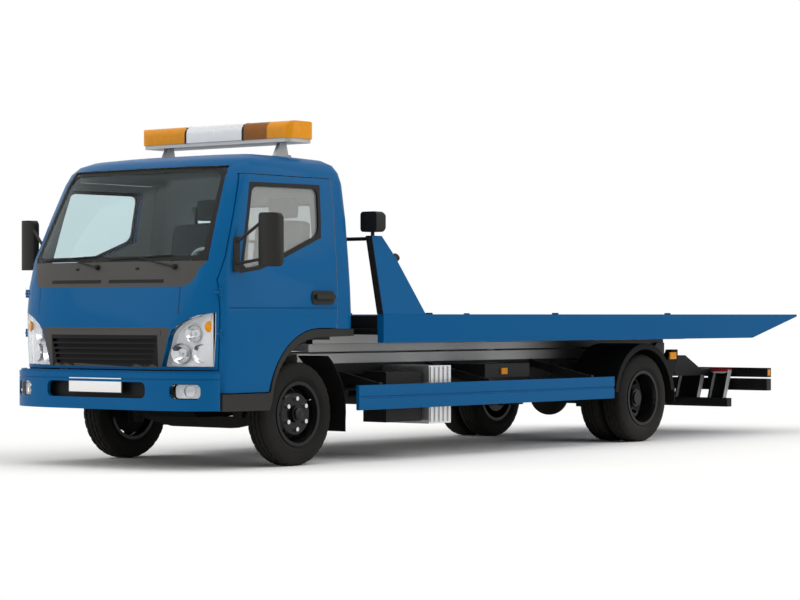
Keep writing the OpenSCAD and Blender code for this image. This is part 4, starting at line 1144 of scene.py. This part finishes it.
    def make_seams(self) -> None:
        """Joint lines between the front's panels."""
        skin = Skin("cab_front")
        shape = Shape()
        for sign in (1, -1):
            y = sign * self.seam_y
            one, two = ([skin.front(y + dy, 1095 + k * 24, 0.0004) for k in range(9)] for dy in (-2.5, 2.5))
            shape.strip(one, two, Vector((0.0005, 0, 0)))
        shape.done("front_seams", "cab", SEAL)


@dataclass
class Cushion:
    """A padded block with crowned faces, pulled-in sides and sewn channels."""

    lo: Vector
    hi: Vector
    lean: float = 0.0
    channels: tuple[float, ...] = (-0.5, 0.5)
    roundness: float = 0.16
    crown: float = 0.14
    seam: float = 0.07
    seam_half: float = 0.06

    def build(self, name: str) -> None:
        """Makes the cushion as a padded piece of the cab.

        Args:
            name: the piece's name.
        """
        shape = Shape()
        mid, half = (self.lo + self.hi) / 2, (self.hi - self.lo) / 2
        bmesh.ops.create_cube(shape.bm, size=2.0)
        bmesh.ops.subdivide_edges(shape.bm, edges=shape.bm.edges, cuts=9, use_grid_fill=True)
        thin = min(range(3), key=lambda i: half[i])
        for v in shape.bm.verts:
            c = v.co.copy()
            ball = c.normalized() * max(abs(c.x), abs(c.y), abs(c.z))
            soft = c.lerp(ball, self.roundness)
            crown = math.prod(1 - c[i] ** 2 for i in range(3) if i != thin)
            soft[thin] *= 1 - self.crown * (1 - crown)
            if c[thin] > FACING:
                soft[thin] -= self.seam * max(math.exp(-((c.y - line) / self.seam_half) ** 2)
                                              for line in self.channels)
            place = Vector((soft.x * half.x, soft.y * half.y, soft.z * half.z)) + mid
            place.x -= self.lean * (place.z - self.lo.z)
            v.co = place
        piece = shape.done(name, "cab", CLOTH, 180.0, ["seats"])
        smooth = piece.modifiers.new("subdivision", "SUBSURF")
        smooth.levels = smooth.render_levels = 1


@dataclass
class Cabin:
    """Seats and small fittings inside the cab."""

    seats: tuple[tuple[str, float, float], ...] = (("driver", 430, 500), ("passenger", -300, 760))

    def build(self) -> None:
        """Makes the cushions and the dashboard's fittings."""
        for name, y, width in self.seats:
            h = width / 2 - 4
            Cushion(at(-395, y - h, 1122), at(88, y + h, 1262)).build(f"cushion_{name}")
            Cushion(at(-392, y - h, 1250), at(-268, y + h, 1800), 0.115).build(f"backrest_{name}")
            Cushion(at(-432, y - 128, 1812), at(-350, y + 128, 1978), 0.02, (0.0,)).build(f"headrest_{name}")
        dash = Shape()
        dash.box(at(500, 270, 1400), at(640, 590, 1452), 0.03)
        for y in (-700, -120, 120, 720):
            dash.box(at(468, y - 60, 1300), at(490, y + 60, 1356), 0.008)
        dash.done("dash_fittings", "cab", CABIN)


@dataclass
class Mirrors:
    """Mirror glasses on the doors."""

    foot: Vector = field(default_factory=lambda: at(645, 1215, 1430))
    turn: Matrix = field(default_factory=lambda: Matrix.Rotation(math.radians(14), 4, "Z"))
    glass: tuple[Point, ...] = ((-76, 20), (76, 20), (76, 355), (-76, 355))
    rim: tuple[Point, ...] = ((-84, 12), (84, 12), (84, 363), (-84, 363))

    def put(self, ring: Sequence[Point], x: float) -> list[Vector]:
        """Points of the left mirror's back, turned with it."""
        return [self.foot + self.turn @ Vector((x * MM, y * MM, z * MM)) for y, z in ring]

    def build(self) -> None:
        """Makes a glass with its frame on each mirror."""
        inner, outer = rounded(self.glass, 26, 4, 2), rounded(self.rim, 30, 4, 2)
        back = self.turn @ Vector((-MM, 0, 0))
        for side, sign in SIDES:
            glass = Shape().slab(self.put(inner, -35.3), back * 2)
            glass.flipped(sign).done("mirror_glass_" + side, f"{side}_door", MIRROR)
            rim = Shape().band(self.put(outer, -35.2), self.put(inner, -35.2), back * 6)
            rim.flipped(sign).done("mirror_rim_" + side, f"{side}_door", SEAL)


@dataclass
class LightBar:
    """Dark bands and foot bolts of the roof's light bar."""

    x: float = -235.0
    z: float = 2390.0
    bands: tuple[float, ...] = (-280.0, 300.0)
    outline: tuple[Point, ...] = ((152, -2), (152, 68), (146, 92), (128, 116), (92, 129.5))
    foot_y: float = 598.0
    foot_z: float = 2266.0

    def build(self) -> None:
        """Makes the bands between the covers, and the feet's bolts."""
        shape = Shape()
        ring = [*self.outline, *((-a, b) for a, b in reversed(self.outline))]
        inner = [(a * 0.94, max(-2, b - 9)) for a, b in ring]
        for y in self.bands:
            o, i = ([at(self.x + a, y - 9, self.z + b) for a, b in r] for r in (ring, inner))
            shape.band(o, i, Vector((0, 0.018, 0)))
        shape.done("bar_bands", "cab", SEAL)
        bolts = Shape()
        for sign in (1, -1):
            for dx in (-40, 108):
                p = at(self.x + dx, sign * self.foot_y, self.foot_z)
                bolts.rod(p, p + Vector((0, 0, 0.008)), 0.011, sides=6, bevel=0.001)
        bolts.done("bar_bolts", "cab", STEEL)


@dataclass
class Chassis:
    """Pipes and bolts along the chassis, and the warning strips at its tail."""

    rail_y: float = 425.0
    pipe_y: float = 432.0
    pipe_z: tuple[float, ...] = (676, 692)
    pipe_start: dict[str, float] = field(default_factory=lambda: {"left": -2990, "right": -3560})
    pipe_bend: float = -3980.0
    rib_y: tuple[float, ...] = (660, 745, 830, 915)
    cradles: tuple[Point, ...] = ((105, 355), (470, 640))

    def build(self) -> None:
        """Makes the fine pieces of the chassis."""
        self.make_pipes()
        self.make_bolts()
        self.make_rear()

    def make_pipes(self) -> None:
        """Steel pipes along the left and right rail, on their clips."""
        for side, sign in SIDES:
            shape = Shape()
            y, bend = sign * self.pipe_y, self.pipe_bend
            for k, z in enumerate(self.pipe_z):
                start = self.pipe_start[side] - 60 * k
                run = ((start, z), (bend, z), (bend - 40, z - 14), (bend - 180, z - 34))
                shape.pipe([at(x, y, height) for x, height in run], 0.006, 8)
            for x in range(-3600, -4000, -180):
                shape.box(at(x - 12, sign * (self.rail_y + 0.5), 668), at(x + 12, sign * 440, 700), 0.002)
            shape.done("rail_pipes_" + side, "chassis", BLACK)

    def make_bolts(self) -> None:
        """Rows of bolt heads on the frame."""
        rail = Shape()
        for sign in (1, -1):
            for x in range(-700, -1060, -120):
                self.head(rail, at(x, sign * self.rail_y, 640), sign, 0.012)
            for x in (*range(-3560, -4000, -110), *range(-5000, -5900, -110)):
                for z in (690, 560):
                    self.head(rail, at(x, sign * self.rail_y, z), sign, 0.011)
        rail.done("rail_bolts", "chassis", BLACK)

    def head(self, shape: Shape, place: Vector, sign: float, r: float) -> None:
        """Adds one bolt head with its washer.

        Args:
            shape: the shape it goes into.
            place: where it sits.
            sign: 1 where it points left, -1 right.
            r: radius of the head.
        """
        out = Vector((0, sign, 0))
        shape.rod(place, place + out * 0.002, r * 1.35, sides=14)
        shape.rod(place + out * 0.002, place + out * 0.009, r, sides=6, bevel=0.001)

    def make_rear(self) -> None:
        """Ribs of the tail lamps and the warning strips of the wheel cradles."""
        lamps = Shape()
        for sign in (1, -1):
            for y in self.rib_y:
                lamps.box(at(-6654, sign * y, 524), at(-6657, sign * (y + 8), 592), 0.001)
        lamps.done("tail_lamp_ribs", "chassis", SEAL)
        for name, finish, z0, z1 in (("red", RED, 563, 590), ("white", WHITE, 548, 563)):
            strips = Shape()
            for y0, y1 in self.cradles:
                for sign in (1, -1):
                    strips.box(at(-6463, sign * y0, z0), at(-6459, sign * y1, z1), 0.0008)
            strips.done("cradle_strips_" + name, "rear_lift", finish)


@dataclass
class Bed:
    """Fine pieces of the sliding bed's headboard."""

    gusset_x: float = -735.2
    # Outer and inner edge of a gusset's front, at its foot and its top
    gusset: tuple[tuple[float, float, float], ...] = ((1100, 1116, 1060), (1682, 1010, 950))
    lamp_x: float = -842.0
    lamp_y: float = 978.0
    lamp_z: tuple[float, ...] = (1754, 1824)

    def build(self) -> None:
        """Makes black strips on the gussets' fronts, painted shade for the cab's shadow and the open channel
        there, and the work lamps' glasses.
        """
        (z0, out0, in0), (z1, out1, in1) = self.gusset
        corners = ((out0, z0), (out1, z1), (in1, z1), (in0, z0))
        edge, lamps = Shape(), Shape()
        for sign in (1, -1):
            edge.slab([at(self.gusset_x, sign * y, z) for y, z in corners], Vector((0.004, 0, 0)))
            for z in self.lamp_z:
                p = at(self.lamp_x, sign * self.lamp_y, z)
                lamps.rod(p, p + Vector((-0.006, 0, 0)), 0.026, 0.024, 20, 0.002)
        # Black strips on the gussets' fronts: painted shade, not a real part
        edge.done("gusset_shade_strips", "bed", SEAL)
        lamps.done("work_lamp_glasses", "bed", LENS)


# Studio


@dataclass
class Studio:
    """Floor, light and camera."""

    eye: Vector = field(default_factory=lambda: Vector((13.5328 + FRONT_AXLE, 12.6141, 1.0892)))
    yaw: float = 38.474
    focal_px: float = 2470.5
    horizon_px: float = 315.38
    width: int = 800
    height: int = 600
    fade: Point = (4.4, 7.4)
    ambient: float = 0.3
    # Each lamp's name, direction, strength and spread in degrees
    lamps: tuple[tuple[str, tuple[float, float, float], float, float], ...] = (
        ("key", (-0.1, -0.15, -1.0), 1.2, 60.0),
        ("fore", (-0.9, 0.5, -0.6), 1.25, 60.0),
        ("flank", (0.5, -0.9, -0.6), 1.25, 60.0))

    def build(self) -> None:
        """Makes the camera, the floor, the lamps and the world."""
        bpy.context.scene.view_settings.view_transform = "Standard"
        self.make_camera()
        self.make_floor()
        self.make_light()

    def make_camera(self) -> None:
        """The camera at the photograph's angle."""
        data = bpy.data.cameras.new("camera")
        data.sensor_width = 36.0
        data.lens = self.focal_px / self.width * data.sensor_width
        data.shift_y = (self.horizon_px - self.height / 2) / self.width
        data.clip_end = 300.0
        camera = bpy.data.objects.new("camera", data)
        camera.location = self.eye
        a = math.radians(self.yaw)
        camera.rotation_euler = Vector((-math.cos(a), -math.sin(a), 0)).to_track_quat("-Z", "Y").to_euler()
        bpy.context.scene.collection.objects.link(camera)
        bpy.context.scene.camera = camera

    @staticmethod
    def seen(t: Tree) -> bpy.types.NodeSocket:
        """Tells rays from the camera, a gloss or a glass from the others.

        Args:
            t: the tree that the nodes go into.

        Returns:
            A socket that is 1 for such a ray and 0 otherwise.
        """
        path = t.add("LightPath").outputs
        gloss = t.math("MAXIMUM", path["Is Glossy Ray"], path["Is Transmission Ray"])
        return t.math("MAXIMUM", path["Is Camera Ray"], gloss)

    def make_floor(self) -> None:
        """A pale floor that fades into the white far off."""
        bm = bmesh.new()
        bmesh.ops.create_circle(bm, cap_ends=True, segments=96, radius=120.0)
        mesh = bpy.data.meshes.new("floor")
        bm.to_mesh(mesh)
        bm.free()
        floor = bpy.data.objects.new("floor", mesh)
        floor.location.z = -0.0005
        bpy.context.scene.collection.objects.link(floor)
        made = bpy.data.materials.new("floor")
        made.use_nodes = True
        nodes = made.node_tree.nodes
        nodes.remove(nodes["Principled BSDF"])
        t = Tree(made.node_tree)
        place = t.add("TexCoord").outputs["Object"]
        flat = t.add("VectorMath", {0: place, 1: (1.0, 1.5, 0.0)}, operation="MULTIPLY").outputs[0]
        away = t.add("VectorMath", {0: flat}, operation="LENGTH").outputs["Value"]
        far = t.math("MULTIPLY", t.ramp(away, *self.fade), self.seen(t))
        matt = t.add("BsdfDiffuse", {"Color": (0.985, 0.975, 0.955, 1.0)}).outputs[0]
        white = t.add("Emission", {"Color": (1, 1, 1, 1), "Strength": 1.0}).outputs[0]
        both = t.add("MixShader", {0: far, 1: matt, 2: white}).outputs[0]
        t.fill(nodes["Material Output"], {0: both})
        mesh.materials.append(made)

    def make_light(self) -> None:
        """Soft lamps and a white world."""
        for name, way, strength, spread in self.lamps:
            data = bpy.data.lights.new(name, "SUN")
            data.energy = strength
            data.angle = math.radians(spread)
            lamp = bpy.data.objects.new(name, data)
            lamp.rotation_euler = Vector(way).to_track_quat("-Z", "Y").to_euler()
            bpy.context.scene.collection.objects.link(lamp)
        world = bpy.data.worlds.new("studio")
        world.use_nodes = True
        bpy.context.scene.world = world
        t = Tree(world.node_tree)
        level = t.math("ADD", t.math("MULTIPLY", self.seen(t), 1.0 - self.ambient), self.ambient)
        t.fill(world.node_tree.nodes["Background"], {"Color": (1.0, 1.0, 1.0, 1.0), "Strength": level})


def main() -> None:
    """Builds the studio and every sub-assembly."""
    logging.basicConfig(level=logging.INFO, format="%(message)s")
    Studio().build()
    Dress().build()
    for assembly in (Wheels(), Screens(), Face(), Cabin(), Mirrors(), LightBar(), Chassis(), Bed()):
        assembly.build()
        LOG.info("%s done", type(assembly).__name__)


if __name__ == "__main__":
    main()
